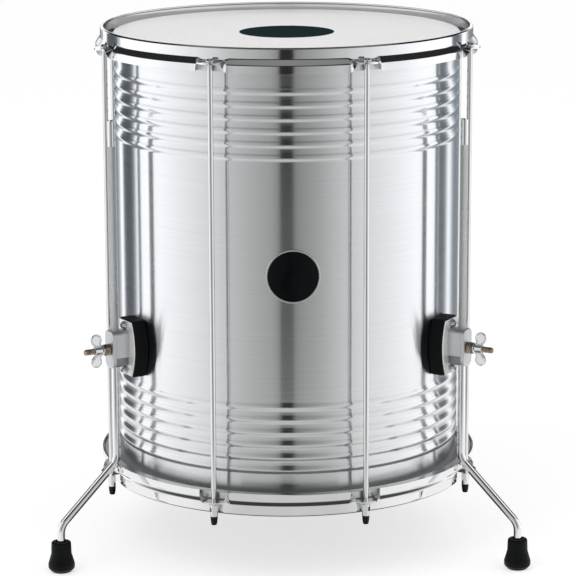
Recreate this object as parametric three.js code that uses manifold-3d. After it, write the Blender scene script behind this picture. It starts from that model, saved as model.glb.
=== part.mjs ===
// A floor-standing surdo: a ribbed aluminium shell with a head at each end, held between two
// pressed counterhoops by long tension rods, on three height-adjustable legs.
// Millimetres, +Z up. The floor is at zero height and the badge faces -Y.
import * as THREE from "three";
import { mergeVertices } from "three/addons/utils/BufferGeometryUtils.js";
import Module from "manifold-3d";

const wasm = await Module();
wasm.setup();

// Fits that every piece shares.
const seat = 0.3;
const overrun = 4;
const weldDepth = 0.8;

// Shell: a rolled tube with a set of beads near each end.
const shellRadius = 228.6;
const shellWall = 1.5;
const shellDepth = 589;
const hoopGround = 95;
const beadCount = 6;
const beadPitch = 16.8;
const beadInset = 47.9;
const beadWidth = 9;
const beadHeight = 2.2;

// Heads: a film over each end of the shell, its collar held in a flesh hoop.
const filmThickness = 0.5;
const collarSpread = 11.4;
const collarLap = 1.2;
const fleshWidth = 10.2;
const fleshHeight = 10;
const fleshChamfer = 1.1;

// Counterhoops: sheet with an upright band, an outward crease and a skirt, which is
// pressed out into a flat ear at each rod.
const hoopRise = 8.7;
const hoopSheet = 2;
const bandInset = 2.8;
const bandHeight = 14.5;
const creaseHeight = 7;
const creaseSpread = 6.1;
const creaseUndersideShare = 0.45;
const skirtHeight = 10;
const earDepth = 18.3;
const earInset = 2.6;
const earMargin = 13.6;
const earFlatHalfWidth = 14.5;
const earHalfWidth = 23;
const earNarrowing = 7;

// Tension rods, each with a domed head, a flanged nut and a cap over its thread.
const rodCount = 8;
const rodRadius = 3.5;
const rodHeadOverhang = 1.8;
const rodHeadHeight = 4.4;
const rodHeadRim = 1.2;
const nutFlangeWall = 2.3;
const nutFlangeHeight = 3.4;
const nutHexWall = 2.3;
const nutHexHeight = 9.2;
const nutCollarWall = 1.3;
const nutCollarHeight = 6.7;
const capWall = 1.2;
const capRounding = 1.1;
const capHeight = 11.2;
const capFloor = 1.5;

// Leg: a bent rod, standing in the clamp's bore, with a rubber foot.
const legRadius = 5.25;
const legCover = 15.3;
const legRise = 304.5;
const legTipChamfer = 1.6;
const legKick = 84.2;
const legSlantRise = 78;
const legAnkleHeight = 61;
const legBendRadius = 22;
const footHeight = 41;
const footSoleThickness = 6;
const footSoleRadius = 13;
const footWaistRadius = 17.7;
const footWaistHeight = 9;
const footNeckRadius = 13.2;
const footNeckHeight = 26;
const footMouthRounding = 2.2;

// Leg clamp: a rubber block on the shell, a plate with a cast saddle, and two screws.
const clampGap = 12.8;
const blockThickness = 17.1;
const blockEndHalfWidth = 18;
const blockMiddleHalfWidth = 26.5;
const plateThickness = 2;
const plateMargin = 1.5;
const saddleCheek = 3.7;
const saddleTopRounding = 7;
const saddleFootRounding = 9;
const saddleStepHeight = 14;
const saddleStepInset = 3.5;
const saddleLip = 5.5;
const screwOffset = 30.5;
const screwMargin = 7.3;
const screwRadius = 2.5;
const screwHeadRadius = 5.3;
const screwHeadHeight = 5.5;
const screwNutRadius = 4.6;
const screwNutHeight = 4;
const screwTail = 1.5;

// Eyebolt round the leg, with a lock collar and a wing nut on its thread.
const threadPitch = 1.25;
const boltRadius = 4;
const boltTail = 14.4;
const eyeWall = 1.6;
const eyeHeight = 7;
const eyeSideRoom = 0.5;
const collarWall = 3.7;
const collarLength = 7.8;
const hubLength = 13.2;
const hubBaseWall = 2.6;
const hubEndWall = 1.4;
const wingSheet = 2.8;
const wingEarRadius = 8;
const wingEarOffset = 14.6;
const wingSweep = 10.4;
const wingRoot = 1.4;
const wingOpeningDegrees = 110;

// Badge: a plain disc bent to the shell.
const badgeRadius = 35;
const badgeThickness = 1.2;
const badgeLift = 9.4;
const badgeTurnDegrees = 1.3;

// Facets of the round forms.
const shellSides = 48;
const rodSides = 8;
const smallSides = 12;
const badgeSides = 32;
const hexSides = 6;
const bowSteps = 5;
const cornerSteps = 3;
const bendSteps = 4;
const plainHoopSteps = 5;

// Sizes that follow from those above: radii first, then heights.
const quarterTurn = Math.PI / 2;
const collarFoot = shellRadius + collarSpread;
const fleshInner = collarFoot + seat;
const fleshOuter = fleshInner + fleshWidth;
const bandRadius = fleshOuter - bandInset;
const skirtRadius = bandRadius + creaseSpread;
const nutFlangeRadius = rodRadius + nutFlangeWall;
const rodCircle = bandRadius + earInset + nutFlangeRadius + seat;
const earReach = rodCircle + earMargin;
const blockFace = shellRadius + seat + blockThickness;
const plateInner = blockFace + seat;
const plateFace = plateInner + plateThickness;
const legCircle = plateFace + legCover;
const footCircle = legCircle + legKick;
const eyeSlack = threadPitch / 2;
const eyeBore = legRadius + seat + eyeSlack;
const eyeOuter = eyeBore + eyeWall;
const eyeCircle = legCircle + eyeSlack;
const saddleHalfWidth = eyeOuter + eyeSideRoom + saddleCheek;
const saddleFace = eyeCircle + eyeOuter;
const collarStart = saddleFace + seat;
const hubStart = collarStart + collarLength + seat;
const hubEnd = hubStart + hubLength;
const headRise = seat + filmThickness;
const hoopCrown = headRise + hoopRise;
const fleshDepth = earDepth + hoopSheet + seat;
const fleshTop = hoopCrown - fleshDepth;
const earLevel = hoopCrown - earDepth;
const shellBottom = hoopGround + hoopCrown;
const shellTop = shellBottom + shellDepth;
const badgeHeight = shellBottom + shellDepth / 2 + badgeLift;
const blockHalfHeight = screwOffset + screwMargin;
const saddleHalfHeight = screwOffset - screwHeadRadius - seat;
const beadSpan = beadInset + (beadCount - 1) * beadPitch + beadWidth / 2;
const clampHeight = shellBottom + beadSpan + clampGap + blockHalfHeight;
const nutTop = shellBottom - earLevel - seat;
const nutBottom = nutTop - nutFlangeHeight - nutHexHeight - nutCollarHeight;
const capTop = nutBottom - seat;
const capBottom = capTop - capHeight;
const rodFoot = capBottom + capFloor + seat;
const clampAngles = [-Math.PI / 3, Math.PI / 3, Math.PI];
const clampSides = ["left", "right", "rear"];

// A closed mesh as a solid that can be joined and cut.
function solidOf(geometry) {
  const bare = geometry.clone();
  bare.deleteAttribute("normal");
  bare.deleteAttribute("uv");
  const merged = mergeVertices(bare);
  const mesh = new wasm.Mesh({
    numProp: 3,
    vertProperties: merged.getAttribute("position").array,
    triVerts: new Uint32Array(merged.index.array),
  });
  return new wasm.Manifold(mesh);
}

// A solid as a geometry that can be placed and drawn.
function geometryOf(solid) {
  const mesh = solid.getMesh();
  const geometry = new THREE.BufferGeometry();
  geometry.setAttribute("position", new THREE.BufferAttribute(mesh.vertProperties, 3));
  geometry.setIndex(new THREE.BufferAttribute(mesh.triVerts, 1));
  geometry.computeVertexNormals();
  return geometry;
}

// The corner radius of a polygon whose sides touch a circle from outside.
function aroundCircle(radius, sides) {
  return radius / Math.cos(Math.PI / sides);
}

// Turns an outline of [radius, height] points, from axis to axis, about the upright axis.
function turned(outline, sides) {
  const points = outline.map(([radius, height]) => new THREE.Vector2(radius, height));
  return new THREE.LatheGeometry(points, sides).rotateX(quarterTurn);
}

// Turns an outline that closes on itself.
function turnedRing(outline, sides) {
  return turned([...outline, outline[0]], sides);
}

// An upright cylinder from one height to another.
function post(radius, from, to, sides) {
  return turned([[0, from], [radius, from], [radius, to], [0, to]], sides);
}

// Lays an upright turned form along the outward direction, which is -Y before it is placed.
function laidOutward(geometry, height) {
  return geometry.rotateX(quarterTurn).translate(0, 0, height);
}

// Extrudes an outline of (sideways, height) outward from one radius to another.
function pressedOutward(shape, from, to, steps) {
  const options = { depth: to - from, bevelEnabled: false, curveSegments: steps };
  return new THREE.ExtrudeGeometry(shape, options).rotateX(quarterTurn).translate(0, -from, 0);
}

// Extrudes an outline of (radius, height) sideways, half to each side.
function spreadSideways(shape, width, steps) {
  const options = { depth: width, bevelEnabled: false, curveSegments: steps };
  const turn = new THREE.Matrix4().makeBasis(
    new THREE.Vector3(0, -1, 0),
    new THREE.Vector3(0, 0, 1),
    new THREE.Vector3(-1, 0, 0),
  );
  return new THREE.ExtrudeGeometry(shape, options).applyMatrix4(turn).translate(width / 2, 0, 0);
}

// A box given by its lowest and highest corners.
function boxBetween(low, high) {
  const size = high.map((value, i) => value - low[i]);
  const middle = high.map((value, i) => (value + low[i]) / 2);
  return new THREE.BoxGeometry(...size).translate(...middle);
}

// Joins [radius, height] sections, each at its own angle round the upright axis, into a ring.
function sweptRing(stations) {
  const corners = stations[0].section.length;
  const positions = [];
  const index = [];
  stations.forEach(({ angle, section }, i) => {
    const next = (i + 1) % stations.length;
    section.forEach(([radius, height], j) => {
      positions.push(radius * Math.sin(angle), -radius * Math.cos(angle), height);
      const after = (j + 1) % corners;
      const here = i * corners + j;
      const beside = i * corners + after;
      const along = next * corners + j;
      const across = next * corners + after;
      index.push(here, along, across, here, across, beside);
    });
  });
  const geometry = new THREE.BufferGeometry();
  geometry.setAttribute("position", new THREE.Float32BufferAttribute(positions, 3));
  geometry.setIndex(index);
  geometry.computeVertexNormals();
  return geometry;
}

// A route of chosen stations, which lie close together only where it bends.
class StationRoute extends THREE.Curve {
  constructor(stations) {
    super();
    this.stations = stations;
  }

  stationAt(share) {
    return this.stations[Math.round(share * (this.stations.length - 1))];
  }

  getPointAt(share) {
    return this.stationAt(share).point.clone();
  }

  getTangentAt(share) {
    return this.stationAt(share).tangent.clone();
  }
}

// Stations round the bend that joins two straight runs at a corner.
function bendStations(corner, arriving, leaving, bendRadius) {
  const turn = arriving.angleTo(leaving);
  const reach = bendRadius * Math.tan(turn / 2);
  const start = corner.clone().addScaledVector(arriving, -reach);
  const inward = leaving.clone().addScaledVector(arriving, -arriving.dot(leaving)).normalize();
  const centre = start.clone().addScaledVector(inward, bendRadius);
  const stations = [];
  for (let step = 0; step <= bendSteps; step += 1) {
    const angle = (turn * step) / bendSteps;
    const spoke = inward.clone().multiplyScalar(-Math.cos(angle));
    spoke.addScaledVector(arriving, Math.sin(angle));
    const tangent = arriving.clone().multiplyScalar(Math.cos(angle));
    tangent.addScaledVector(inward, Math.sin(angle));
    stations.push({ point: centre.clone().addScaledVector(spoke, bendRadius), tangent });
  }
  return stations;
}

// A route through corner points, with a round bend at each inner one.
function bentRoute(corners, bendRadius) {
  const headings = corners.slice(1).map((to, i) => to.clone().sub(corners[i]).normalize());
  const stations = [{ point: corners[0], tangent: headings[0] }];
  for (let i = 1; i < corners.length - 1; i += 1) {
    stations.push(...bendStations(corners[i], headings[i - 1], headings[i], bendRadius));
  }
  stations.push({ point: corners.at(-1), tangent: headings.at(-1) });
  return new StationRoute(stations);
}

// A regular polygon whose corners lie on a circle.
function polygon(radius, sides) {
  const points = [];
  for (let i = 0; i < sides; i += 1) {
    const angle = (2 * Math.PI * i) / sides;
    points.push(new THREE.Vector2(radius * Math.cos(angle), radius * Math.sin(angle)));
  }
  return new THREE.Shape(points);
}

// Shell

function beadHeights() {
  const insets = [];
  for (let i = 0; i < beadCount; i += 1) insets.push(beadInset + i * beadPitch);
  const lower = insets.map((inset) => shellBottom + inset);
  const upper = insets.map((inset) => shellTop - inset).reverse();
  return [...lower, ...upper];
}

function screwHoles(angle) {
  const radius = aroundCircle(screwRadius + seat, rodSides);
  const from = shellRadius - shellWall - overrun;
  const holes = [screwOffset, -screwOffset].map((offset) => {
    const hole = post(radius, from, plateFace + overrun, rodSides);
    return solidOf(laidOutward(hole, clampHeight + offset).rotateZ(angle));
  });
  return holes[0].add(holes[1]);
}

function shellGeometry() {
  const outline = [[shellRadius, shellBottom]];
  for (const height of beadHeights()) {
    outline.push([shellRadius, height - beadWidth / 2]);
    outline.push([shellRadius + beadHeight, height]);
    outline.push([shellRadius, height + beadWidth / 2]);
  }
  outline.push([shellRadius, shellTop]);
  outline.push([shellRadius - shellWall, shellTop]);
  outline.push([shellRadius - shellWall, shellBottom]);
  let shell = solidOf(turnedRing(outline, shellSides));
  for (const angle of clampAngles) shell = shell.subtract(screwHoles(angle));
  return geometryOf(shell);
}

// Heads and hoops of one drum end, with the shell's edge at zero height and outward up

function headGeometry() {
  const shoulder = shellRadius + seat;
  const foot = fleshTop - collarLap;
  const drop = headRise - foot;
  const slant = Math.hypot(collarSpread, drop);
  const sideways = (filmThickness * slant) / drop;
  const outline = [
    [0, seat],
    [shoulder, seat],
    [collarFoot - sideways, foot],
    [collarFoot, foot],
    [shoulder + sideways / 2, headRise],
    [0, headRise],
  ];
  return turned(outline, shellSides);
}

function fleshHoopGeometry() {
  const outline = [
    [fleshInner, fleshTop - fleshHeight],
    [fleshOuter, fleshTop - fleshHeight],
    [fleshOuter, fleshTop - fleshChamfer],
    [fleshOuter - fleshChamfer, fleshTop],
    [fleshInner, fleshTop],
  ];
  return turnedRing(outline, shellSides);
}

// How far the skirt has swung out into the ear, at a distance along the rim from the rod.
function earShare(distance) {
  const share = (earHalfWidth - distance) / (earHalfWidth - earFlatHalfWidth);
  const limited = THREE.MathUtils.clamp(share, 0, 1);
  return limited * limited * (3 - 2 * limited);
}

// The sheet's section in [radius, depth below the crown], changed to heights at the end.
function hoopSection(distance) {
  const share = earShare(distance);
  const mix = (plain, ear) => THREE.MathUtils.lerp(plain, ear, share);
  const narrowing = earNarrowing * Math.min(distance / earFlatHalfWidth, 1) ** 2;
  const earLength = earReach - bandRadius - earInset - narrowing;
  const length = mix(skirtHeight, earLength);
  const swing = share * quarterTurn;
  const underside = hoopSheet * mix(creaseUndersideShare, 1);
  const setback = hoopSheet * mix(1, creaseUndersideShare);
  const fold = [
    mix(skirtRadius, bandRadius + earInset),
    mix(bandHeight + creaseHeight, earDepth),
  ];
  const band = [bandRadius, mix(bandHeight, earDepth - hoopSheet)];
  const edge = [fold[0] + length * Math.sin(swing), fold[1] + length * Math.cos(swing)];
  const section = [
    [bandRadius, 0],
    [bandRadius - hoopSheet, 0],
    [bandRadius - hoopSheet, band[1] + underside],
    [fold[0] - setback, fold[1] + underside],
    [edge[0] - hoopSheet * Math.cos(swing), edge[1] + hoopSheet * Math.sin(swing)],
    edge,
    fold,
    band,
  ];
  return section.map(([radius, depth]) => [radius, hoopCrown - depth]);
}

function lugAngles() {
  const angles = [];
  for (let i = 0; i < rodCount; i += 1) angles.push(((i + 1 / 2) * 2 * Math.PI) / rodCount);
  return angles;
}

// Distances from a rod, along the rim, at which the hoop has a section.
function hoopDistances() {
  const shoulder = (earFlatHalfWidth + earHalfWidth) / 2;
  const half = [earFlatHalfWidth / 2, earFlatHalfWidth, shoulder, earHalfWidth];
  const across = [...half.map((distance) => -distance).reverse(), 0, ...half];
  const plainRun = (2 * Math.PI * rodCircle) / rodCount - 2 * earHalfWidth;
  for (let i = 1; i <= plainHoopSteps; i += 1) {
    across.push(earHalfWidth + (plainRun * i) / (plainHoopSteps + 1));
  }
  return across;
}

function hoopGeometry() {
  const distances = hoopDistances();
  const stations = lugAngles().flatMap((lug) =>
    distances.map((distance) => {
      return { angle: lug + distance / rodCircle, section: hoopSection(Math.abs(distance)) };
    }),
  );
  let hoop = solidOf(sweptRing(stations));
  const holeRadius = aroundCircle(rodRadius + seat, rodSides);
  for (const lug of lugAngles()) {
    const hole = post(holeRadius, earLevel - hoopSheet - overrun, earLevel + overrun, rodSides);
    hoop = hoop.subtract(solidOf(hole.translate(0, -rodCircle, 0).rotateZ(lug)));
  }
  return geometryOf(hoop);
}

// Tension rods, nuts and caps, each upright about its own axis

function tensionRodGeometry() {
  const headBase = shellTop + earLevel + seat;
  const headRadius = rodRadius + rodHeadOverhang;
  const outline = [
    [0, rodFoot],
    [rodRadius, rodFoot],
    [rodRadius, headBase],
    [headRadius, headBase],
    [headRadius, headBase + rodHeadRim],
    [headRadius - rodHeadRim, headBase + rodHeadHeight - rodHeadRim],
    [0, headBase + rodHeadHeight],
  ];
  return turned(outline, rodSides);
}

function tensionNutGeometry() {
  const hexTop = nutTop - nutFlangeHeight;
  const hexBottom = hexTop - nutHexHeight;
  const bore = aroundCircle(rodRadius + seat, smallSides);
  const flange = solidOf(post(nutFlangeRadius, hexTop - weldDepth, nutTop, smallSides));
  const hex = solidOf(post(rodRadius + nutHexWall, hexBottom, hexTop, hexSides));
  const collarRadius = rodRadius + nutCollarWall;
  const collar = solidOf(post(collarRadius, nutBottom, hexBottom + weldDepth, smallSides));
  const hole = solidOf(post(bore, nutBottom - overrun, nutTop + overrun, smallSides));
  return geometryOf(flange.add(hex).add(collar).subtract(hole));
}

function rodCapGeometry() {
  const bore = aroundCircle(rodRadius + seat, rodSides);
  const radius = rodRadius + capWall;
  const outline = [
    [0, capBottom],
    [radius - capRounding, capBottom],
    [radius, capBottom + capRounding],
    [radius, capTop],
    [bore, capTop],
    [bore, capBottom + capFloor],
    [0, capBottom + capFloor],
  ];
  return turned(outline, rodSides);
}

// Legs and feet, at the front before they are turned to their places

function legGeometry() {
  const top = clampHeight + legRise;
  const corners = [
    new THREE.Vector3(0, -legCircle, top),
    new THREE.Vector3(0, -legCircle, legAnkleHeight + legSlantRise),
    new THREE.Vector3(0, -footCircle, legAnkleHeight),
    new THREE.Vector3(0, -footCircle, footSoleThickness + seat),
  ];
  const route = bentRoute(corners, legBendRadius);
  const run = new THREE.ExtrudeGeometry(polygon(legRadius, rodSides), {
    steps: route.stations.length - 1,
    extrudePath: route,
  });
  const reach = legTipChamfer + overrun;
  const cutter = [
    [legRadius - legTipChamfer, top],
    [legRadius - legTipChamfer + reach, top - reach],
    [legRadius - legTipChamfer + reach, top + overrun],
    [legRadius - legTipChamfer, top + overrun],
  ];
  const tip = turnedRing(cutter, rodSides).translate(0, -legCircle, 0);
  return geometryOf(solidOf(run).subtract(solidOf(tip)));
}

function footGeometry() {
  const bore = aroundCircle(legRadius + seat, smallSides);
  const outline = [
    [0, 0],
    [footSoleRadius, 0],
    [(footSoleRadius + 2 * footWaistRadius) / 3, footWaistHeight / 2],
    [footWaistRadius, footWaistHeight],
    [footNeckRadius, footNeckHeight],
    [footNeckRadius, footHeight - footMouthRounding],
    [footNeckRadius - footMouthRounding, footHeight],
    [bore, footHeight],
    [bore, footSoleThickness],
    [0, footSoleThickness],
  ];
  return turned(outline, smallSides).translate(0, -footCircle, 0);
}

// Leg clamps, at the front before they are turned to their places

// An outline with straight ends and bowed sides.
function barrelOutline(margin) {
  const end = blockEndHalfWidth - margin;
  const bow = 2 * (blockMiddleHalfWidth - margin) - end;
  const half = blockHalfHeight - margin;
  const shape = new THREE.Shape();
  shape.moveTo(-end, clampHeight - half);
  shape.lineTo(end, clampHeight - half);
  shape.quadraticCurveTo(bow, clampHeight, end, clampHeight + half);
  shape.lineTo(-end, clampHeight + half);
  shape.quadraticCurveTo(-bow, clampHeight, -end, clampHeight - half);
  return shape;
}

function blockGeometry() {
  const from = shellRadius - shellWall - overrun;
  const block = solidOf(pressedOutward(barrelOutline(0), from, blockFace, bowSteps));
  const reach = blockHalfHeight + overrun;
  const tube = post(shellRadius + seat, clampHeight - reach, clampHeight + reach, shellSides);
  return geometryOf(block.subtract(solidOf(tube)).subtract(screwHoles(0)));
}

function saddleOutline() {
  const half = saddleHalfWidth;
  const low = clampHeight - saddleHalfHeight;
  const high = clampHeight + saddleHalfHeight;
  const foot = saddleFootRounding;
  const top = saddleTopRounding;
  const shape = new THREE.Shape();
  shape.absarc(half - foot, low + foot, foot, -quarterTurn, 0, false);
  shape.absarc(half - top, high - top, top, 0, quarterTurn, false);
  shape.absarc(-half + top, high - top, top, quarterTurn, 2 * quarterTurn, false);
  shape.absarc(-half + foot, low + foot, foot, 2 * quarterTurn, 3 * quarterTurn, false);
  return shape;
}

// The saddle's sides are stepped in below, so that its face ends in a tongue.
function saddleSteps() {
  const low = clampHeight - saddleHalfHeight - overrun;
  const high = clampHeight - saddleHalfHeight + saddleStepHeight;
  const inner = saddleHalfWidth - saddleStepInset;
  const outer = saddleHalfWidth + overrun;
  const tongue = -saddleFace + saddleLip;
  const right = solidOf(boxBetween([inner, tongue, low], [outer, -plateFace, high]));
  const left = solidOf(boxBetween([-outer, tongue, low], [-inner, -plateFace, high]));
  return right.add(left);
}

function eyeSlot() {
  const half = eyeOuter + eyeSideRoom;
  const rise = Math.max(eyeHeight / 2, boltRadius) + seat;
  const from = eyeCircle - eyeOuter - threadPitch - seat;
  const low = [-half, -saddleFace - overrun, clampHeight - rise];
  return solidOf(boxBetween(low, [half, -from, clampHeight + rise]));
}

function legBore() {
  const reach = saddleHalfHeight + overrun;
  const radius = aroundCircle(legRadius + seat, smallSides);
  const bore = post(radius, clampHeight - reach, clampHeight + reach, smallSides);
  return solidOf(bore.translate(0, -legCircle, 0));
}

function clampGeometry() {
  const outline = barrelOutline(plateMargin);
  const plate = solidOf(pressedOutward(outline, plateInner, plateFace, bowSteps));
  const root = plateFace - weldDepth;
  const saddle = solidOf(pressedOutward(saddleOutline(), root, saddleFace, cornerSteps));
  const body = plate.add(saddle.subtract(saddleSteps()));
  return geometryOf(body.subtract(legBore()).subtract(eyeSlot()).subtract(screwHoles(0)));
}

// A dome-headed screw, with its nut run up against the inside of the shell.
function screwGeometry(offset) {
  const head = plateFace + seat;
  const nutFace = (shellRadius - shellWall) * Math.cos(Math.PI / shellSides) - seat;
  const nutBack = nutFace - screwNutHeight;
  const outline = [
    [0, nutBack - screwTail],
    [screwRadius, nutBack - screwTail],
    [screwRadius, nutBack],
    [screwNutRadius, nutBack],
    [screwNutRadius, nutFace],
    [screwRadius, nutFace],
    [screwRadius, head],
    [screwHeadRadius, head],
    [screwHeadRadius, head + screwHeadHeight / 2],
    [screwHeadRadius / 2, head + screwHeadHeight],
    [0, head + screwHeadHeight],
  ];
  return laidOutward(turned(outline, rodSides), clampHeight + offset);
}

// Eyebolt, lock collar and wing nut

function eyeboltGeometry() {
  const half = eyeHeight / 2;
  const bore = aroundCircle(eyeBore, smallSides);
  const outline = [
    [bore, clampHeight - half],
    [eyeOuter, clampHeight - half],
    [eyeOuter, clampHeight + half],
    [bore, clampHeight + half],
  ];
  const eye = turnedRing(outline, smallSides).translate(0, -eyeCircle, 0);
  const from = eyeCircle + eyeOuter - 2 * weldDepth;
  const shank = laidOutward(post(boltRadius, from, hubEnd + boltTail, smallSides), clampHeight);
  return geometryOf(solidOf(eye).add(solidOf(shank)));
}

function lockCollarGeometry() {
  const bore = aroundCircle(boltRadius + seat, smallSides);
  const radius = boltRadius + collarWall;
  const outline = [
    [bore, collarStart],
    [radius, collarStart],
    [radius, collarStart + collarLength],
    [bore, collarStart + collarLength],
  ];
  return laidOutward(turnedRing(outline, smallSides), clampHeight);
}

// One wing, drawn in (radius, height) about the bolt's own axis.
function wingOutline() {
  const root = boltRadius + hubEndWall - weldDepth;
  const opening = THREE.MathUtils.degToRad(wingOpeningDegrees) / 2;
  const middle = hubStart + wingSweep;
  const from = 3 * quarterTurn - opening;
  const to = -quarterTurn + opening;
  const shape = new THREE.Shape();
  shape.moveTo(hubStart + wingRoot, root);
  shape.absarc(middle, wingEarOffset, wingEarRadius, from, to, true);
  shape.lineTo(hubEnd - wingRoot, root);
  return shape;
}

function wingNutGeometry() {
  const bore = aroundCircle(boltRadius + seat, smallSides);
  const outline = [
    [bore, hubStart],
    [boltRadius + hubBaseWall, hubStart],
    [boltRadius + hubBaseWall, hubStart + wingRoot],
    [boltRadius + hubEndWall, hubEnd],
    [bore, hubEnd],
  ];
  const hub = solidOf(laidOutward(turnedRing(outline, smallSides), 0));
  const upper = solidOf(spreadSideways(wingOutline(), wingSheet, bowSteps));
  const lower = solidOf(spreadSideways(wingOutline(), wingSheet, bowSteps).rotateY(Math.PI));
  return geometryOf(hub.add(upper).add(lower)).translate(0, 0, clampHeight);
}

// Badge

function badgeGeometry() {
  const inner = shellRadius + seat;
  const outer = inner + badgeThickness;
  const low = badgeHeight - badgeRadius - overrun;
  const high = badgeHeight + badgeRadius + overrun;
  const outline = [[inner, low], [outer, low], [outer, high], [inner, high]];
  const disc = post(badgeRadius, inner - badgeRadius, outer + overrun, badgeSides);
  const turn = THREE.MathUtils.degToRad(badgeTurnDegrees);
  const punch = laidOutward(disc, badgeHeight).rotateZ(turn);
  return geometryOf(solidOf(turnedRing(outline, shellSides)).intersect(solidOf(punch)));
}

// Finishes

function finish(color, roughness, metalness) {
  return () => new THREE.MeshStandardMaterial({ color, roughness, metalness });
}

const brushedAluminium = finish(0xb9bbbd, 0.38, 1);
const chrome = finish(0xd8dadc, 0.08, 1);
const spunAluminium = finish(0xc4c4c2, 0.3, 1);
const yellowZinc = finish(0xa8977c, 0.35, 1);
const coatedFilm = finish(0xe8e6e7, 0.35, 0);
const blackRubber = finish(0x14181a, 0.7, 0);
const blackPlastic = finish(0x0c0d0e, 0.45, 0);
const blackEnamel = finish(0x0a0b0c, 0.2, 0);

// Assembly

function piece(name, geometry, material) {
  const mesh = new THREE.Mesh(geometry, material());
  mesh.name = name;
  return mesh;
}

function drumEnd(side, head) {
  const end = new THREE.Group();
  end.add(piece(`${side}_hoop`, hoopGeometry(), chrome));
  end.add(piece(`${head}_head`, headGeometry(), coatedFilm));
  end.add(piece(`${head}_flesh_hoop`, fleshHoopGeometry(), spunAluminium));
  return end;
}

function shellAndHeads() {
  const group = new THREE.Group();
  group.add(piece("shell", shellGeometry(), brushedAluminium));
  group.add(piece("badge", badgeGeometry(), blackEnamel));
  const top = drumEnd("top", "batter");
  top.position.z = shellTop;
  const bottom = drumEnd("bottom", "resonant");
  bottom.position.z = shellBottom;
  bottom.rotation.x = Math.PI;
  group.add(top, bottom);
  return group;
}

function tensioning() {
  const group = new THREE.Group();
  const rodForm = tensionRodGeometry();
  const nutForm = tensionNutGeometry();
  const capForm = rodCapGeometry();
  lugAngles().forEach((angle, i) => {
    const lug = new THREE.Group();
    lug.position.set(rodCircle * Math.sin(angle), -rodCircle * Math.cos(angle), 0);
    lug.rotation.z = angle;
    lug.add(piece(`tension_rod_${i + 1}`, rodForm, chrome));
    lug.add(piece(`tension_nut_${i + 1}`, nutForm, chrome));
    lug.add(piece(`rod_cap_${i + 1}`, capForm, blackPlastic));
    group.add(lug);
  });
  return group;
}

function legSets() {
  const group = new THREE.Group();
  const forms = [
    ["leg", legGeometry(), chrome],
    ["foot", footGeometry(), blackRubber],
    ["clamp_block", blockGeometry(), blackRubber],
    ["clamp", clampGeometry(), chrome],
    ["upper_screw", screwGeometry(screwOffset), chrome],
    ["lower_screw", screwGeometry(-screwOffset), chrome],
    ["eyebolt", eyeboltGeometry(), yellowZinc],
    ["lock_collar", lockCollarGeometry(), yellowZinc],
    ["wing_nut", wingNutGeometry(), chrome],
  ];
  clampSides.forEach((side, i) => {
    const set = new THREE.Group();
    set.rotation.z = clampAngles[i];
    for (const [name, form, material] of forms) set.add(piece(`${side}_${name}`, form, material));
    group.add(set);
  });
  return group;
}

// The middle of the whole outline stands over the origin, which the rear leg draws back.
function surdo() {
  const drum = new THREE.Group();
  drum.add(shellAndHeads(), tensioning(), legSets());
  const middle = new THREE.Box3().setFromObject(drum, true).getCenter(new THREE.Vector3());
  drum.position.set(-middle.x, -middle.y, 0);
  const stand = new THREE.Group();
  stand.add(drum);
  return stand;
}

export default surdo();
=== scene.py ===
"""A floor-standing surdo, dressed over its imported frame.

The drum's classes hold their sizes in millimetres, from the drum's own axis and from the
floor. A piece is shaped at the front of the drum, where outward is -Y, and is then turned to
its place and scaled to metres by the datum. Finishes, lamps and floors are in metres.
"""
import logging
import math
from dataclasses import dataclass, field
from enum import Enum

import bmesh
import bpy
from mathutils import Matrix, Vector


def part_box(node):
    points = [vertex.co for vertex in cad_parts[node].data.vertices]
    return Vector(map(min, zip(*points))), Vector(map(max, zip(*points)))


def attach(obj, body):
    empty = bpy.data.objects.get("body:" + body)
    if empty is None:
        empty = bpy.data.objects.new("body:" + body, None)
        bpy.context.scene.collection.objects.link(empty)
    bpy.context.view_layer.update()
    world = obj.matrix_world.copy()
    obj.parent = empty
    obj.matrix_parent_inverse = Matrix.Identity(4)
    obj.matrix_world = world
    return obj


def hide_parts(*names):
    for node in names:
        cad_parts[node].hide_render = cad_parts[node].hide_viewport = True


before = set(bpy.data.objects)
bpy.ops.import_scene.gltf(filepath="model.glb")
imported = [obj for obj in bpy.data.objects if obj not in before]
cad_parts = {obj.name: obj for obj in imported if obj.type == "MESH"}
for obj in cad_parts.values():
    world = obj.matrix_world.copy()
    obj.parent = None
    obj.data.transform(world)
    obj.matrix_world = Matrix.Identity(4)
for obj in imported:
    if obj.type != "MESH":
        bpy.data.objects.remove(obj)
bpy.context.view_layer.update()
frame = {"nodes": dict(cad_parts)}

log = logging.getLogger("surdo")

Point = tuple[float, float]
Profile = list[Point]
Corner = tuple[float, float, float]
Colour = tuple[float, float, float]
Bands = tuple[Point, ...]
Shape = bmesh.types.BMesh
Edges = list[bmesh.types.BMEdge]
Socket = bpy.types.NodeSocket
Feed = Socket | float | Colour

TURN = 2.0 * math.pi
MILLIMETRE = 0.001  # in metres
TINY = 1e-4  # what lies closer than this is at the same spot
WRAP = "wrap"  # the name of a piece's own map
RODS = 8
ROD_CIRCLE = 256.4


class Side(Enum):
    """Where a leg stands, in degrees from the front towards +X."""

    LEFT = -60.0
    RIGHT = 60.0
    REAR = 180.0

    @property
    def label(self) -> str:
        """The side's word in the names of nodes and bodies."""
        return self.name.lower()


class End(Enum):
    """An end of the drum, and the way that its heights run from the shell's edge."""

    TOP = 1.0
    BOTTOM = -1.0


# Workshop: shaping meshes


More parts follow.
